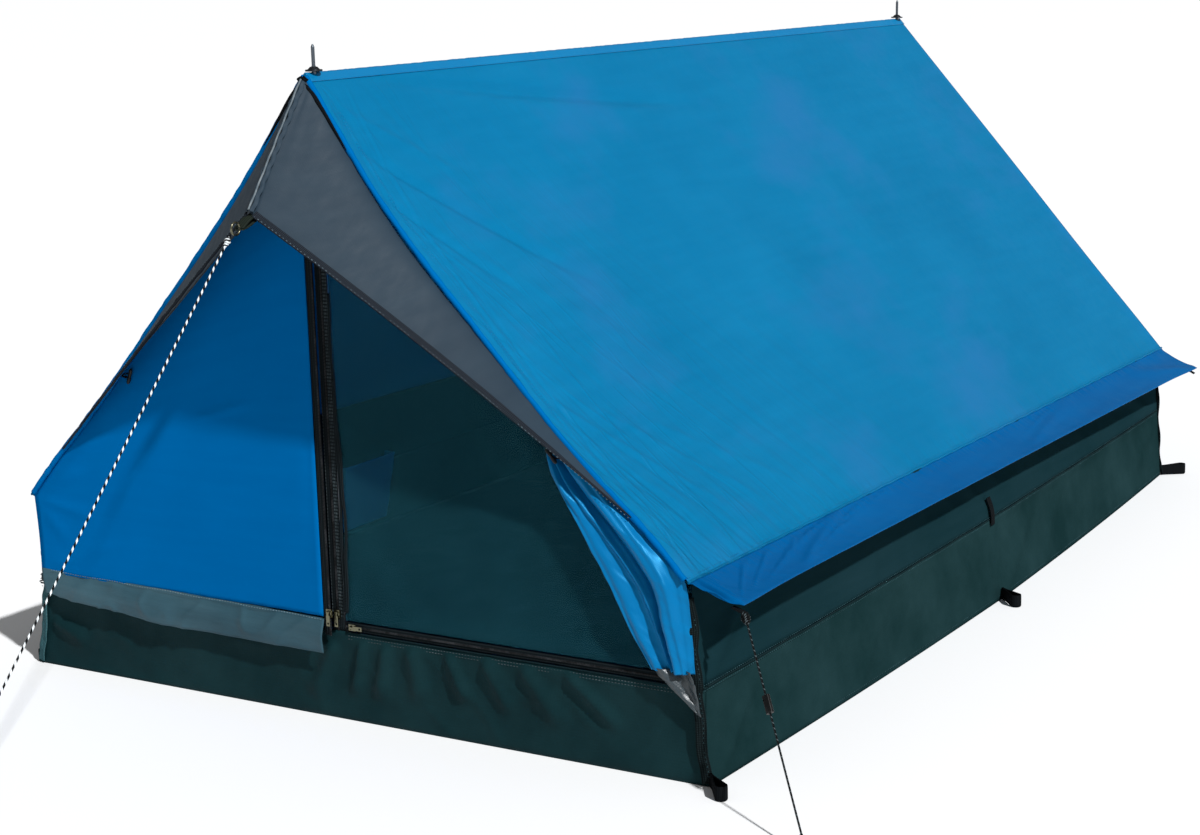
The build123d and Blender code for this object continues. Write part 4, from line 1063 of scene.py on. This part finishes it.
def across_fold(piece):
    """Bakes a door sheet's object transform into its mesh."""
    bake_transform(piece)


NET_FOLDS = (((0.02, 0.42), (0.045, 0.16), 0.006, 0.004, 1.4), ((0.03, 0.30), (0.10, 0.155), 0.008, 0.003, 1.6),
             ((0.30, 0.50), (0.44, 0.17), 0.012, 0.003, 1.6))
NET_SLACK = 0.0050          # how far the net hangs inwards, so that its folds stay behind the zips


def make_net(side):
    """One half of the insect mesh, with the fixed strip of mesh beside it."""
    label = side_name(side)
    place = end_panel(MESH_EDGE, MESH_BOTTOM, side, 0.0)

    def relief(s, t, points):
        x, z = np.abs(points[..., 0]), points[..., 2]
        inside = half_width(FRONT, z, side) - x
        edge = smooth((x - MESH_EDGE) / 0.03) * smooth(inside / 0.03) * smooth((z - MESH_BOTTOM) / 0.03)
        height = -NET_SLACK + 0.0035 * noise(x, z, 0.06, 0.40, 81, 8) + 0.0020 * noise(x, z, 0.15, 0.05, 82, 30)
        return np.minimum(creased(height, x, z, NET_FOLDS), 0) * edge

    net = cloth("mesh_cloth_" + label, place, (0, -1, 0), 0.008, NET, relief, thickness=0.0006)
    across_fold(net)
    declare(net, "mesh_fabric", "mesh_leaf_" + label, "mesh_strips")


DOOR_PULL = 0.575, 0.272    # where the closed door's folds start, at its outer edge
DOOR_FOLDS = ((DOOR_PULL, (0.46, 0.33), 0.004, 0.0026, 2.6), (DOOR_PULL, (0.44, 0.25), 0.004, 0.0022, 2.6),
              (DOOR_PULL, (0.50, 0.20), 0.004, 0.002, 2.6), (DOOR_PULL, (0.40, 0.40), 0.004, 0.002, 2.6),
              ((0.13, 0.455), (0.26, 0.415), 0.005, 0.0016, 1.4), ((0.56, 0.160), (0.40, 0.22), 0.006, 0.002, 1.8))


def make_outer_door():
    """The closed left half of the outer door with the grey flap that hangs from it."""
    place = end_panel(DOOR_EDGE, DOOR_BOTTOM, -1, DOOR_OUT + 0.0015)

    def relief(s, t, points):
        x, z = -points[..., 0], points[..., 2]
        inside = half_width(FRONT, z, -1) - x
        edge = smooth(s / 0.03) * smooth(inside / 0.04)
        height = 0.0020 * noise(x, z, 0.16, 0.5, 91) + 0.0012 * noise(x, z, 0.05, 0.4, 92, 28)
        height = creased(height, x, z, DOOR_FOLDS)
        height += pucker(x, z, DOOR_BOTTOM, 0.010, 0.008, 0.0007, 93)
        roll = 0.0015 * smooth((0.010 - s) / 0.008)
        return np.clip(height, -0.0025, 0.008) * edge + roll

    door = cloth("door_cloth_left", place, (0, -1, 0), 0.006, DOOR_BLUE, relief)
    across_fold(door)
    declare(door, "door_fabric", "door_leaf_left", "door_strip_left")

    left = wall_x(FRONT, DOOR_BOTTOM, -1) - 0.004

    def hanging(u, v):
        x = mix(-DOOR_EDGE + 0.001, -left + 0.006 * v, u)
        end = smooth((u - 0.88) / 0.12)
        low = FLAP_BOTTOM + 0.001 * noise(u, 0 * u, 0.13, 1, 94) + 0.016 * smooth((u - 0.45) / 0.55) + 0.004 * end
        top = DOOR_BOTTOM + mix(-0.003, 0.006, u)
        belly = 0.0060 * v**1.3 + 0.0045 * np.sin(math.pi * v)
        wobble = 0.0012 * noise(u, 0 * v, 0.055, 1, 95) * v
        return out(x, DOOR_OUT + 0.0022 + (belly + wobble) * (1 - 0.6 * end), mix(top, low, v))

    def dents(s, t, _):
        height = 0.0022 * noise(s, t, 0.045, 0.03, 96) + 0.0034 * (ridged(s, t, 0.055, 0.028, 97, 35) - 0.4)
        height += pucker(s, t, 0.0, 0.006, 0.006, 0.0008, 98)
        return height * smooth(t / 0.006)

    flap = cloth("door_flap_cloth_left", hanging, (0, -1, 0), 0.004, FLAP_GREY, dents, thickness=0.0016)
    sew(flap, "door_left", "flap_fabric", "door_flap_left", held="hung")
    line = np.linspace(-DOOR_EDGE - 0.002, -left + 0.02, 150)
    share = (line + DOOR_EDGE) / (DOOR_EDGE - left)
    seam = out(line, DOOR_OUT + 0.0042, DOOR_BOTTOM + mix(-0.004, 0.005, share) + 0.0007 * np.sin(line * 55))
    rows = stitches("door_hem_stitches", seam, (0, -1, 0), THREAD_LIGHT, 0.005, 0.0036, 0.00045, (0.0,))
    attach(rows, "door_left", "seam_tape")


def between(left, right, u, v):
    """Places x, z between two curves given by a few points: u along the curves, v from the left to the right one."""
    a, b = spline(left, u), spline(right, u)
    return mix(a[..., 0], b[..., 0], v), mix(a[..., 1], b[..., 1], v)


# Folds of the tied door: place across it, width, height, and how far the fold drifts on its way down.
BUNDLE_FOLDS = ((0.16, 0.13, 0.013, 0.03), (0.33, 0.045, 0.007, 0.16), (0.48, 0.035, -0.010, 0.06),
                (0.66, 0.13, 0.016, 0.03), (0.86, 0.05, 0.006, -0.04), (0.06, 0.03, 0.005, 0.02))


def make_tied_door():
    """The other half of the outer door, gathered back and tied: a bundle of soft folds."""
    left = [(0.368, 0.446), (0.380, 0.392), (0.418, 0.330), (0.462, 0.256), (0.494, 0.198), (0.520, 0.154)]
    heights = (0.456, 0.398, 0.338, 0.285, 0.215, 0.152)
    right = [(float(half_width(FRONT, z, 1)) - 0.003, z) for z in heights]

    def place(u, v):
        x, z = between(left, right, u, v)
        open_out = smooth(u / 0.35)
        depth = 0.0095 - 0.0015 * open_out
        for centre, width, rise, drift in BUNDLE_FOLDS:
            middle = centre + drift * u + 0.03 * np.sin(5 * u + 9 * centre)
            fold = np.exp(-(((v - middle) / width) ** 2))
            depth = depth + rise * mix(0.55, 1, open_out) * fold * (1 - 0.35 * smooth((u - 0.75) / 0.25))
        pleats = 0.0045 * np.sin(v * 33 + 3 * np.sin(4 * v)) * smooth((0.42 - u) / 0.4) * smooth(u / 0.1)
        depth = (depth + pleats) * (1 - 0.55 * smooth((v - 0.90) / 0.10)) - 0.004 * smooth((0.04 - v) / 0.04)
        return out(x, np.maximum(depth, 0.0035), z)

    def relief(s, t, _):
        height = 0.0007 * noise(s, t, 0.09, 0.012, 101, 12) + 0.0004 * noise(s, t, 0.03, 0.005, 102, 25)
        height += 0.0014 * (ridged(s, t, 0.10, 0.035, 103, 28) - 0.3) * smooth(s / 0.1)
        return height

    bundle = cloth("tied_door_cloth", place, (0, -1, 0), 0.003, SATIN_BLUE, relief, cells=(130, 84))
    sew(bundle, "root", "door_fabric", "tied_door_right", held="gathered")

    low_left = [(0.520, 0.157), (0.543, 0.137), (0.568, 0.116), (0.5885, 0.098)]
    low_right = [(0.5795, 0.157), (0.5855, 0.140), (0.5885, 0.118), (0.5915, 0.0965)]

    def hanging(u, v):
        x, z = between(low_left, low_right, u, v)
        depth = 0.010 + 0.006 * np.sin(v * 7 + 1.5 * u) * (1 - u) - 0.003 * u
        return out(x, depth, z)

    def crumple(s, t, _):
        return 0.0018 * (ridged(s, t, 0.03, 0.012, 104, 20) - 0.4) + 0.0012 * noise(s, t, 0.02, 0.02, 105)

    flap = cloth("tied_flap_cloth", hanging, (0, -1, 0), 0.002, SHADED_CRUMPLED_GREY, crumple, cells=(44, 36))
    sew(flap, "root", "flap_fabric", "tied_flap_right", held="gathered")


TOOTH_CORNERS = [(a, b, c) for a in (-1, 1) for b in (-1, 1) for c in (-1, 1)]
TOOTH_FACES = ((0, 1, 3, 2), (4, 6, 7, 5), (0, 4, 5, 1), (2, 3, 7, 6), (0, 2, 6, 4), (1, 5, 7, 3))
TOOTH_PITCH = 0.0024
AHEAD = (0, -1, 0)


def zip_line(name, start, end, width, coil, edge_shift=0.0):
    """A tape with a row of interlocked coil turns along it, on the front wall. Returns the tape and the turns."""
    start, end, face = (np.array(k, float) for k in (start, end, AHEAD))
    length = np.linalg.norm(end - start)
    path = start + (end - start) * np.linspace(0, 1, max(20, int(length / 0.006)))[:, None]
    base = ribbon(name + "_tape", path, face, width, 0.0009, TAPE_BLACK, 0.0003, 111)
    ahead = unit(end - start)
    side = np.cross(ahead, face)
    vertices, faces = [], []
    for n in range(int(length / TOOTH_PITCH)):
        centre = start + ahead * (n + 0.5) * TOOTH_PITCH + side * edge_shift
        lean = 0.25 if n % 2 else -0.25
        first = len(vertices)
        for a, b, c in TOOTH_CORNERS:
            squeeze = 0.7 if c > 0 else 1.0
            along = a * TOOTH_PITCH * 0.38 * squeeze + b * lean * TOOTH_PITCH * 0.4
            vertices.append(centre + ahead * along + side * b * coil / 2 * squeeze
                            + face * (0.0010 + 0.0005 * (1 + c)))
        faces += [tuple(first + i for i in corners) for corners in TOOTH_FACES]
    return [base, new_object(name + "_coil", vertices, faces, COIL_BLACK, sharp=True)]


def make_zips():
    """The centre, sill and door zips with their stitches, and the tapes along the right mesh's free edge."""
    y = FRONT + 0.0015
    centre = zip_line("centre_zip", (0, y, SEAM), (0, y, ZIP_TOP), 0.021, 0.0034)
    up = np.linspace(SEAM + 0.02, ZIP_TOP, 200)
    lines = stitches("centre_zip_stitches", stack(0 * up, y - 0.0009, up), AHEAD, THREAD_GREY, 0.005, 0.0042,
                     0.0004, (0.0038, 0.0064, 0.0090, -0.0092))
    for piece in centre + [lines]:
        attach(piece, "root", "zip_tape", "mesh_zips")
    reach = wall_x(FRONT, SILL) - 0.006
    for side, label in SIDES:
        sill = zip_line("sill_zip_" + label, (side * 0.0134, y, SILL), (side * reach, y, SILL), TAPE_WIDTH - 0.003,
                        0.0030)
        for piece in sill:
            attach(piece, "root", "zip_tape", "mesh_zips")
        welt = stack(side * np.linspace(0.016, reach, 160), FRONT - 0.0008, np.full(160, SEAM - 0.0005))
        attach(tube("sill_welt_" + label, welt, 0.0012, SEAM_DARK, 8), "root", "seam_tape")
        rows = stitches("sill_stitches_" + label, welt - [0, 0.0001, 0.005], AHEAD, THREAD_GREY, *WEATHERED_STITCH,
                        (0.0, 0.0045))
        attach(rows, "root", "seam_tape")
    low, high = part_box("door_zip_left")[0].z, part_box("door_zip_left")[1].z
    at = FRONT - DOOR_OUT - 0.0005
    door = zip_line("door_zip", (-0.0133, at, low), (-0.0133, at, high), 0.0125, 0.003, edge_shift=0.0048)
    for piece in door:
        attach(piece, "door_left", "zip_tape", "door_zip_left")
    for number, (x, bulge) in enumerate(((0.0138, 0.002), (0.0182, 0.005))):
        rise = np.linspace(0, 1, 90)
        path = out(x + bulge * np.sin(math.pi * rise * 1.3) + 0.001 * np.sin(rise * 21), 0.0012 + 0.001 * number,
                   mix(MESH_BOTTOM + 0.012, 0.62 - 0.12 * number, rise))
        strip = ribbon(f"mesh_edge_tape_{number}", path, (0.25, -1, 0), 0.0045, 0.0008, TAPE_BLACK, 0.0006, 112)
        attach(strip, "mesh_door_right", "zip_tape")


# ---- beak ---------------------------------------------------------------------------------------
BEAK_FLAT = 0.763, 0.176    # its longest edge, and its height above that
BEAK_OUT = 0.0119           # its sewn edges, ahead of the front wall
BEAK_APEX = np.array((0, FRONT - BEAK_OUT, RIDGE - 0.002))
BEAK_TIP = np.array((0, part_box("beak_panel_right")[0].y, 0.749))
BEAK_FOOT = np.array((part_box("beak_panel_right")[1].x, FRONT - BEAK_OUT, 0.351))


def beak_point(across, down, side):
    """A place on half of the beak: across from the tip to the roof's edge, down from the apex to the hollow hem."""
    across, down = (np.asarray(k, float)[..., None] for k in (across, down))
    hollow = 0.014 * np.sin(math.pi * across) * unit(2 * BEAK_APEX - BEAK_FOOT - BEAK_TIP)
    hem = (mix(BEAK_TIP, BEAK_FOOT, across) + hollow) * np.array((side, 1, 1))
    apex = BEAK_APEX * np.array((side, 1, 1))
    foot_share = (RIDGE - BEAK_FOOT[2]) / (RIDGE - EAVE_FRONT)
    sag = roof_dip(side, down[..., 0] * foot_share)[..., None] * across**2
    return mix(apex, hem, down) + inward(side) * sag


def make_beak(side):
    """Half of the beak with the tape and the stitches on its hem."""
    label = side_name(side)
    apex = BEAK_APEX * np.array((side, 1, 1))

    def place(u, v):
        return beak_point(u, v, side)

    def relief(s, t, _):
        reach = np.clip(t / 0.55, 0, 1)
        height = -0.004 * np.sin(math.pi * reach) + 0.0016 * noise(s, t, 0.12, 0.3, 121 + side)
        height += 0.0012 * noise(s, t, 0.006, 0.4, 123) * np.exp(-t / 0.12)
        return height * smooth(t / 0.02)

    panel = cloth("beak_cloth_" + label, place, (0.6 * side, -0.8, 0.3), 0.006, BEAK_GREY, relief,
                  flat=BEAK_FLAT)
    sew(panel, "root", "beak_fabric", "beak_panel_" + label)
    share = np.linspace(0.012, 0.985, 170)
    hem = beak_point(share, 1.0, side)
    outward = unit(np.cross(BEAK_TIP - apex, BEAK_FOOT * np.array((side, 1, 1)) - apex)) * -side
    outward = outward if outward[1] < 0 else -outward
    taper = 1 - 0.85 * smooth((share - 0.6) / 0.4)
    tape = ribbon("beak_hem_" + label, hem + outward * 0.001, outward, 0.010 * taper, 0.0024, HEM_FUZZ, 0.0007, 124)
    attach(tape, "root", "seam_tape", "beak_seams")
    rows = stitches("beak_hem_stitches_" + label, hem + outward * 0.0022, outward, THREAD_LIGHT, 0.006, 0.003,
                    0.0003, (0.003,))
    attach(rows, "root", "seam_tape")


def make_beak_trim():
    """The piping down the beak's middle and the folded seam allowance on each side of it."""
    k = np.linspace(0.04, 1.0, 110)[:, None]
    line = mix(BEAK_APEX, BEAK_TIP, k) + np.array((0, -0.0022, 0.0022))
    line[:, 0] += 0.0004 * np.sin(k[:, 0] * 37)
    piping = tube("beak_piping", line, 0.0014, PIPING, 8)
    attach(piping, "root", "seam_tape", "beak_seams")
    for side, label in SIDES:
        beside = mix(BEAK_APEX, BEAK_TIP, k) + np.array((side * 0.0045, -0.001, -0.0005))
        beside[:, 0] += 0.0010 * np.sin(k[:, 0] * 61 + side)
        fold = ribbon("beak_seam_fold_" + label, beside, (side * 0.7, -0.7, 0.3), 0.006, 0.0014, BEAK_GREY, 0.0008,
                      125)
        attach(fold, "root", "seam_tape")


def make_beak_tab():
    """The webbing that holds the ring at the beak's tip."""
    tip, ring = BEAK_TIP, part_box("beak_ring")
    middle = (np.array(ring[0]) + np.array(ring[1])) / 2
    ring_top = middle + (0, 0.0085, 0)
    k = np.linspace(0, 1, 26)[:, None]
    path = mix(tip + (0, 0.020, -0.004), ring_top + (0, -0.0015, 0), k)
    path = path + np.array((0, 0, 0.004)) * np.sin(math.pi * k)
    below = path - np.array((0, 0, 0.005)) * np.sin(math.pi * k) - (0, 0, 0.0022)
    layers = [ribbon(name, line, (0, -0.4, 0.9), 0.017, 0.0018, WEB_OLIVE, 0.0004, seed)
              for name, line, seed in (("beak_tab_upper", path, 131), ("beak_tab_lower", below, 132))]
    attach(joined("beak_tab", layers), "root", "webbing", "beak_tip_tab")


# ---- rear wall ----------------------------------------------------------------------------------
VENT_LOW, VENT_HIGH = 0.600, 0.745
VENT_HALF_LOW, VENT_HALF_HIGH = 0.088, 0.026          # half its width at those heights
HOOD_MARGIN = 0.020         # of the vent's cover, all round the vent


def make_rear_wall():
    """The rear gable round its vent, the vent's net, and its cover with bound edges."""
    top = RIDGE - 0.003
    bands = (0.0, 0.62, 0.82, 1.0)
    levels = (SEAM, VENT_LOW, VENT_HIGH, top)

    def place(u, v):
        z = np.interp(v, bands, levels)
        wide = np.maximum(half_width(rear_y(z), z) - INSET, 0.0005)
        vent = np.interp(z, levels, (VENT_HALF_LOW, VENT_HALF_LOW, VENT_HALF_HIGH, 0.0002))
        x = np.where(u < 1 / 3, mix(-wide, -vent, u * 3),
                     np.where(u < 2 / 3, mix(-vent, vent, u * 3 - 1), mix(vent, wide, u * 3 - 2)))
        return stack(x, rear_y(z), z)

    def vent_hole(u, v):
        return (np.abs(u - 0.5) < 1 / 6) & (v > bands[1]) & (v < bands[2])

    def relief(s, t, points):
        x, z = points[..., 0], points[..., 2]
        inside = half_width(rear_y(z), z) - np.abs(x)
        height = 0.0022 * noise(x, z, 0.25, 0.4, 141) + 0.0012 * noise(x, z, 0.05, 0.3, 142, 30)
        for side in (1, -1):
            corner = (side * 0.56, 0.26)
            height = creased(height, x, z, ((corner, (side * 0.30, 0.40), 0.008, 0.003, 1.8),
                                            (corner, (side * 0.34, 0.22), 0.007, 0.0025, 1.8)))
        near_vent = smooth((np.abs(x) - 0.09) / 0.03) + smooth((np.abs(z - 0.672) - 0.075) / 0.03)
        return height * smooth(inside / 0.03) * np.clip(near_vent, 0, 1) * smooth((z - SEAM) / 0.02)

    gable = cloth("rear_cloth", place, (0, 1, 0), 0.01, DOOR_BLUE, relief, vent_hole, cells=(120, 100))
    sew(gable, "root", "door_fabric", "rear_gable")

    def trapezium(margin, distance, bulge):
        def shape(u, v):
            z = mix(VENT_LOW - margin, VENT_HIGH + margin * 0.7, v)
            half = mix(VENT_HALF_LOW, VENT_HALF_HIGH, v) + margin
            dome = bulge * np.sin(math.pi * u) * (1 - v) ** 0.6 * smooth((1.0 - v) / 0.3)
            return stack(mix(-1, 1, u) * half, rear_y(z) + distance + dome, z)
        return shape

    net = cloth("vent_mesh_cloth", trapezium(0.012, -0.0022, 0.0), (0, 1, 0), 0.006, VENT_NET, thickness=0.0006)
    sew(net, "root", "mesh_fabric", "vent_mesh")

    def hood_relief(s, t, _):
        return 0.0009 * noise(s, t, 0.03, 0.05, 143) + 0.0006 * noise(s, t, 0.012, 0.1, 144, 20)

    hood = cloth("vent_cover_cloth", trapezium(HOOD_MARGIN, 0.0016, 0.009), (0, 1, 0), 0.004, DOOR_BLUE, hood_relief)
    sew(hood, "vent_cover", "door_fabric", "vent_cover", held="hung")
    edges = []
    for side in (1, -1):
        k = np.linspace(0, 1, 50)
        z = mix(VENT_LOW - HOOD_MARGIN, VENT_HIGH + 0.013, k)
        half = mix(VENT_HALF_LOW, VENT_HALF_HIGH, k) + HOOD_MARGIN
        edges.append(ribbon(f"hood_edge_{side}", stack(side * half, rear_y(z) + 0.0022, z), (0, 1, 0), 0.007, 0.0018,
                            WEB_BLACK, 0.0003, 145))
    k = np.linspace(-1, 1, 50)
    z = VENT_LOW - HOOD_MARGIN
    low = stack(k * (VENT_HALF_LOW + HOOD_MARGIN), rear_y(z) + 0.0022 + 0.009 * np.cos(k * math.pi / 2), 0 * k + z)
    edges.append(ribbon("hood_edge_low", low, (0, 1, 0), 0.007, 0.0018, WEB_BLACK, 0.0003, 146))
    attach(joined("vent_cover_binding", edges), "vent_cover", "seam_tape")


# ---- bindings, straps, loops --------------------------------------------------------------------
def make_corner_bindings():
    """The tapes that close the four upright corners, with their stitches."""
    ends = (("front", FRONT, lambda z: FRONT - 0.0014 + 0 * z, -1), ("rear", REAR, lambda z: rear_y(z) + 0.0014, 1))
    for end, y0, y_of, facing in ends:
        for side, hand in SIDES:
            top = float(eave_z(y0)) - 0.022
            z = np.linspace(0.004, top, 90)
            sway = 0.0022 * noise(z, 0 * z, 0.035, 1, 151 + side + facing) + 0.0012 * np.sin(z * 90)
            x = side * (wall_x(y0, z, side if facing < 0 else 0) - 0.0035 + sway)
            label = f"{end}_{hand}"
            path = stack(x, y_of(z), z)
            # The front left binding takes the paler copy of the corner tape: painted light.
            finish = LIT_EDGE_TEAL if label == "front_left" else CORNER_TAPE
            outward = (side * 0.35, facing, 0)
            tape = ribbon("corner_binding_" + label, path, outward, 0.015, 0.0024, finish, 0.0018, 152)
            attach(tape, "root", "seam_tape", "corner_bindings")
            rows = stitches("corner_stitches_" + label, path + [side * 0.0006, facing * 0.0012, 0], outward,
                            THREAD_TEAL, 0.0065, 0.003, 0.0003, (0.003,))
            attach(rows, "root", "seam_tape")


PEG_LOOP_LENGTH = 0.054
PEG_LOOP_EYE = 0.007        # radius of the hole at its end
WEBBING = 0.002             # thickness


def make_peg_loops():
    """Webbing folded round a peg hole. The front left one lies along the wall, out of the main view."""
    gap = 0.0012
    places = (("front", FLOOR_HALF, FRONT, (-45, 70)), ("middle", FLOOR_HALF + FLOOR_BULGE, 0.0, (-40, -40)),
              ("rear", FLOOR_HALF, REAR, (45, 45)))
    reach = PEG_LOOP_LENGTH - PEG_LOOP_EYE - WEBBING
    radius = PEG_LOOP_EYE + WEBBING / 2
    bend = np.linspace(math.pi / 2, -math.pi / 2, 15)
    profile = [(0.0, WEBBING / 2), (0.006, WEBBING / 2), (0.012, WEBBING / 2 + 0.0004)]
    profile += [(mix(0.012, reach, k), mix(WEBBING / 2 + 0.0004, radius, k)) for k in (0.25, 0.5, 0.75)]
    profile += [(reach + radius * math.cos(a), radius * math.sin(a)) for a in bend]
    profile += [(x, -y) for x, y in profile[5::-1]]
    for label, x0, y0, angles in places:
        for side, name, degrees in ((1, "right", angles[0]), (-1, "left", angles[1])):
            turn = math.radians(degrees)
            path = []
            for along, across in profile:
                x = x0 + (gap + along) * math.cos(turn) - across * math.sin(turn)
                y = y0 + (gap + along) * math.sin(turn) + across * math.cos(turn)
                path.append((side * x, y, 0.0103))
            loop = ribbon(f"peg_loop_{label}_{name}", path, (0, 0, 1), WEBBING, 0.0196, WEB_BLACK, 0, 161)
            attach(loop, "root", "webbing", "peg_loops")


def make_straps():
    """The tie straps halfway along the side walls and the tabs at the eaves' four corners."""
    y, low, high = 0.012, 0.122, 0.168
    for side, label in SIDES:
        z = np.linspace(low, high, 24)
        x = side * (wall_x(y, z) + 0.0022 + 0.0035 * np.sin(math.pi * (z - low) / (high - low)))
        strap = ribbon("tie_strap_" + label, stack(x, y + 0 * z, z), (side, 0, 0.1), 0.016, 0.0018, WEB_BLACK,
                       0.0003, 171)
        attach(strap, "root", "webbing", "tie_straps")
    for number, (side, end) in enumerate(((1, -1), (1, 1), (-1, -1), (-1, 1))):
        y = ROOF_FRONT + (0.009 if side > 0 else 0.034) if end < 0 else ROOF_REAR - 0.009
        if side > 0:
            z = eave_z(y) - (FLAP_DROP_FRONT if end < 0 else FLAP_DROP_REAR) - 0.004
            reach = 0.003 if end < 0 else -0.003
            path = [(FLAP_HEM_X + k, y, z - 0.0006 * n) for n, k in enumerate(np.linspace(-0.016, reach, 12))]
            up = (0.2, 0, 1)
        else:
            z = eave_z(y) - HANGING_FLAP
            x = -(wall_x(y, z) + 0.012)
            path = [(x, y, z + k) for k in np.linspace(0.009, -0.009, 12)]
            up = (-1, 0, 0)
        tab = ribbon(f"eave_tab_{number}", path, up, 0.011, 0.0018, WEB_BLACK, 0.0002, 172 + number)
        attach(tab, "root", "webbing", "eave_tabs")


def make_pocket():
    """Storage pocket inside the left wall: a bottom, two ends and a slack front."""
    low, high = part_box("storage_pocket")
    y0, y1, z0, z1 = low.y, high.y, low.z, high.z
    depth = 0.022

    def place(u, v):
        z = mix(z0 + 0.001, z1, np.clip((v - 0.12) / 0.88, 0, 1))
        y = np.interp(u, (0, 0.14, 0.86, 1), (y0, y0 + 0.001, y1 - 0.001, y1))
        ends = fades(u, 1, 0.14)
        deep = depth * ends * smooth(v / 0.12)
        slack = 0.004 * np.sin(math.pi * np.clip(u, 0, 1)) * v**2
        wall = -(wall_x(y, z) - 0.0035)
        return stack(wall + deep + slack, y, z)

    def relief(s, t, _):
        return 0.0009 * noise(s, t, 0.03, 0.03, 181)

    pocket = cloth("pocket_cloth", place, (1, 0, 0), 0.004, POCKET_BLUE, relief, cells=(44, 38))
    sew(pocket, "root", "tub_fabric", "storage_pocket", held="hung")


# The elastic of a door tie: share of its reach out to the side, offset back and offset up, in metres.
SLING = ((0, 0, 0.004), (0.4, 0.003, 0.003), (1, 0.004, 0.001), (1, 0.003, -0.002), (0.4, 0.003, -0.003),
         (0, 0, -0.004))


def make_toggles():
    """The door ties: a small plastic bar in a loop of elastic, at the roof's edge on each side."""
    for label, x, z, lean, distance in (("left", -0.356, 0.478, 20, 0.0117), ("right", 0.384, 0.428, -40, 0.0225)):
        turn = math.radians(lean)
        middle = np.array((x, FRONT - distance, z))
        along = np.array((math.sin(turn), 0, math.cos(turn)))
        k = np.linspace(-1, 1, 40)
        thick = 0.0028 * np.clip(1 - np.abs(k) ** 9, 0.02, 1) ** 0.5 * (1 - 0.22 * np.exp(-((k / 0.16) ** 2)))
        bar = tube("tie_bar_" + label, middle + along * 0.0125 * k[:, None], thick, PLASTIC, 14)
        side = 1 if x > 0 else -1
        points = [middle + (side * 0.016 * a, b, c) for a, b, c in SLING]
        loop = tube("tie_elastic_" + label, spline(points, np.linspace(0, 1, 40)), 0.0011, WEB_BLACK, 8)
        attach(bar, "root", "toggle_plastic", "tie_toggles")
        attach(loop, "root", "webbing")


# ---- hard parts stay as the CAD has them ---------------------------------------------------------
def finish_hard_parts():
    """Gives poles, fittings, sliders and tensioners their materials."""
    finishes = {"ridge_washers": DARK_METAL, "pole_spikes": SPIKE_STEEL, "pole_feet": RUBBER,
                "beak_ring": ZIP_METAL, "beak_guy_tensioner": PLASTIC, "corner_guy_tensioner": PLASTIC}
    for name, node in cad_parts.items():
        if name.startswith(("slider_", "pull_tab_")):
            finishes[name] = ZIP_METAL
        if "_pole_" in name:
            finishes[name] = STEEL
        if name in finishes:
            node.data.materials.clear()
            node.data.materials.append(finishes[name])


# ---- stage --------------------------------------------------------------------------------------
FLOOR_SIZE = 300
KEY_DIRECTION = (-0.652, 0.294, -0.700)
KEY_ANGLE = math.radians(2)
SUN_LIGHT, SKY_LIGHT = 4.0, 0.23


def make_stage():
    """A pale floor, an even sky and one sun."""
    mesh = bpy.data.meshes.new("floor")
    mesh.from_pydata([(x * FLOOR_SIZE, y * FLOOR_SIZE, 0) for x, y in ((-1, -1), (1, -1), (1, 1), (-1, 1))], [],
                     [(0, 1, 2, 3)])
    floor = bpy.data.objects.new("floor", mesh)
    finish = Finish("pale_floor", "Object", Roughness=0.9)
    finish.colour(srgb(248, 249, 250))
    mesh.materials.append(finish.material)
    scene.collection.objects.link(floor)
    floor.location.z = -0.0006

    world = bpy.data.worlds.new("studio")
    world.use_nodes = True
    backdrop = world.node_tree.nodes["Background"]
    backdrop.inputs["Color"].default_value = (1, 1, 1, 1)
    seen = world.node_tree.nodes.new("ShaderNodeLightPath").outputs["Is Camera Ray"]
    strength = world.node_tree.nodes.new("ShaderNodeMapRange")
    strength.inputs["To Min"].default_value = SKY_LIGHT
    strength.inputs["To Max"].default_value = 1.0
    world.node_tree.links.new(seen, strength.inputs["Value"])
    world.node_tree.links.new(strength.outputs["Result"], backdrop.inputs["Strength"])
    scene.world = world

    sun = bpy.data.objects.new("key", bpy.data.lights.new("key", "SUN"))
    sun.data.energy, sun.data.angle = SUN_LIGHT, KEY_ANGLE
    sun.rotation_mode = "QUATERNION"
    sun.rotation_quaternion = Vector(KEY_DIRECTION).to_track_quat("-Z", "Y")
    scene.collection.objects.link(sun)
    scene.view_settings.view_transform = "Standard"


# ---- build --------------------------------------------------------------------------------------
make_camera()
make_guy("beak_guy", BEAK_GUY, BEAK_CORD, 0.0040)
make_guy("corner_guy", CORNER_GUY, CORNER_CORD, 0.0062)
make_roof(1, 0.0045)
make_roof(-1, 0.008)
make_eave_flaps()
make_roof_trim()
make_side(1)
make_side(-1)
make_floor_sheet()
make_tub_ends()
make_net(1)
make_net(-1)
make_outer_door()
make_tied_door()
make_zips()
make_beak(1)
make_beak(-1)
make_beak_trim()
make_beak_tab()
make_rear_wall()
make_corner_bindings()
make_peg_loops()
make_straps()
make_pocket()
make_toggles()
finish_hard_parts()
make_stage()
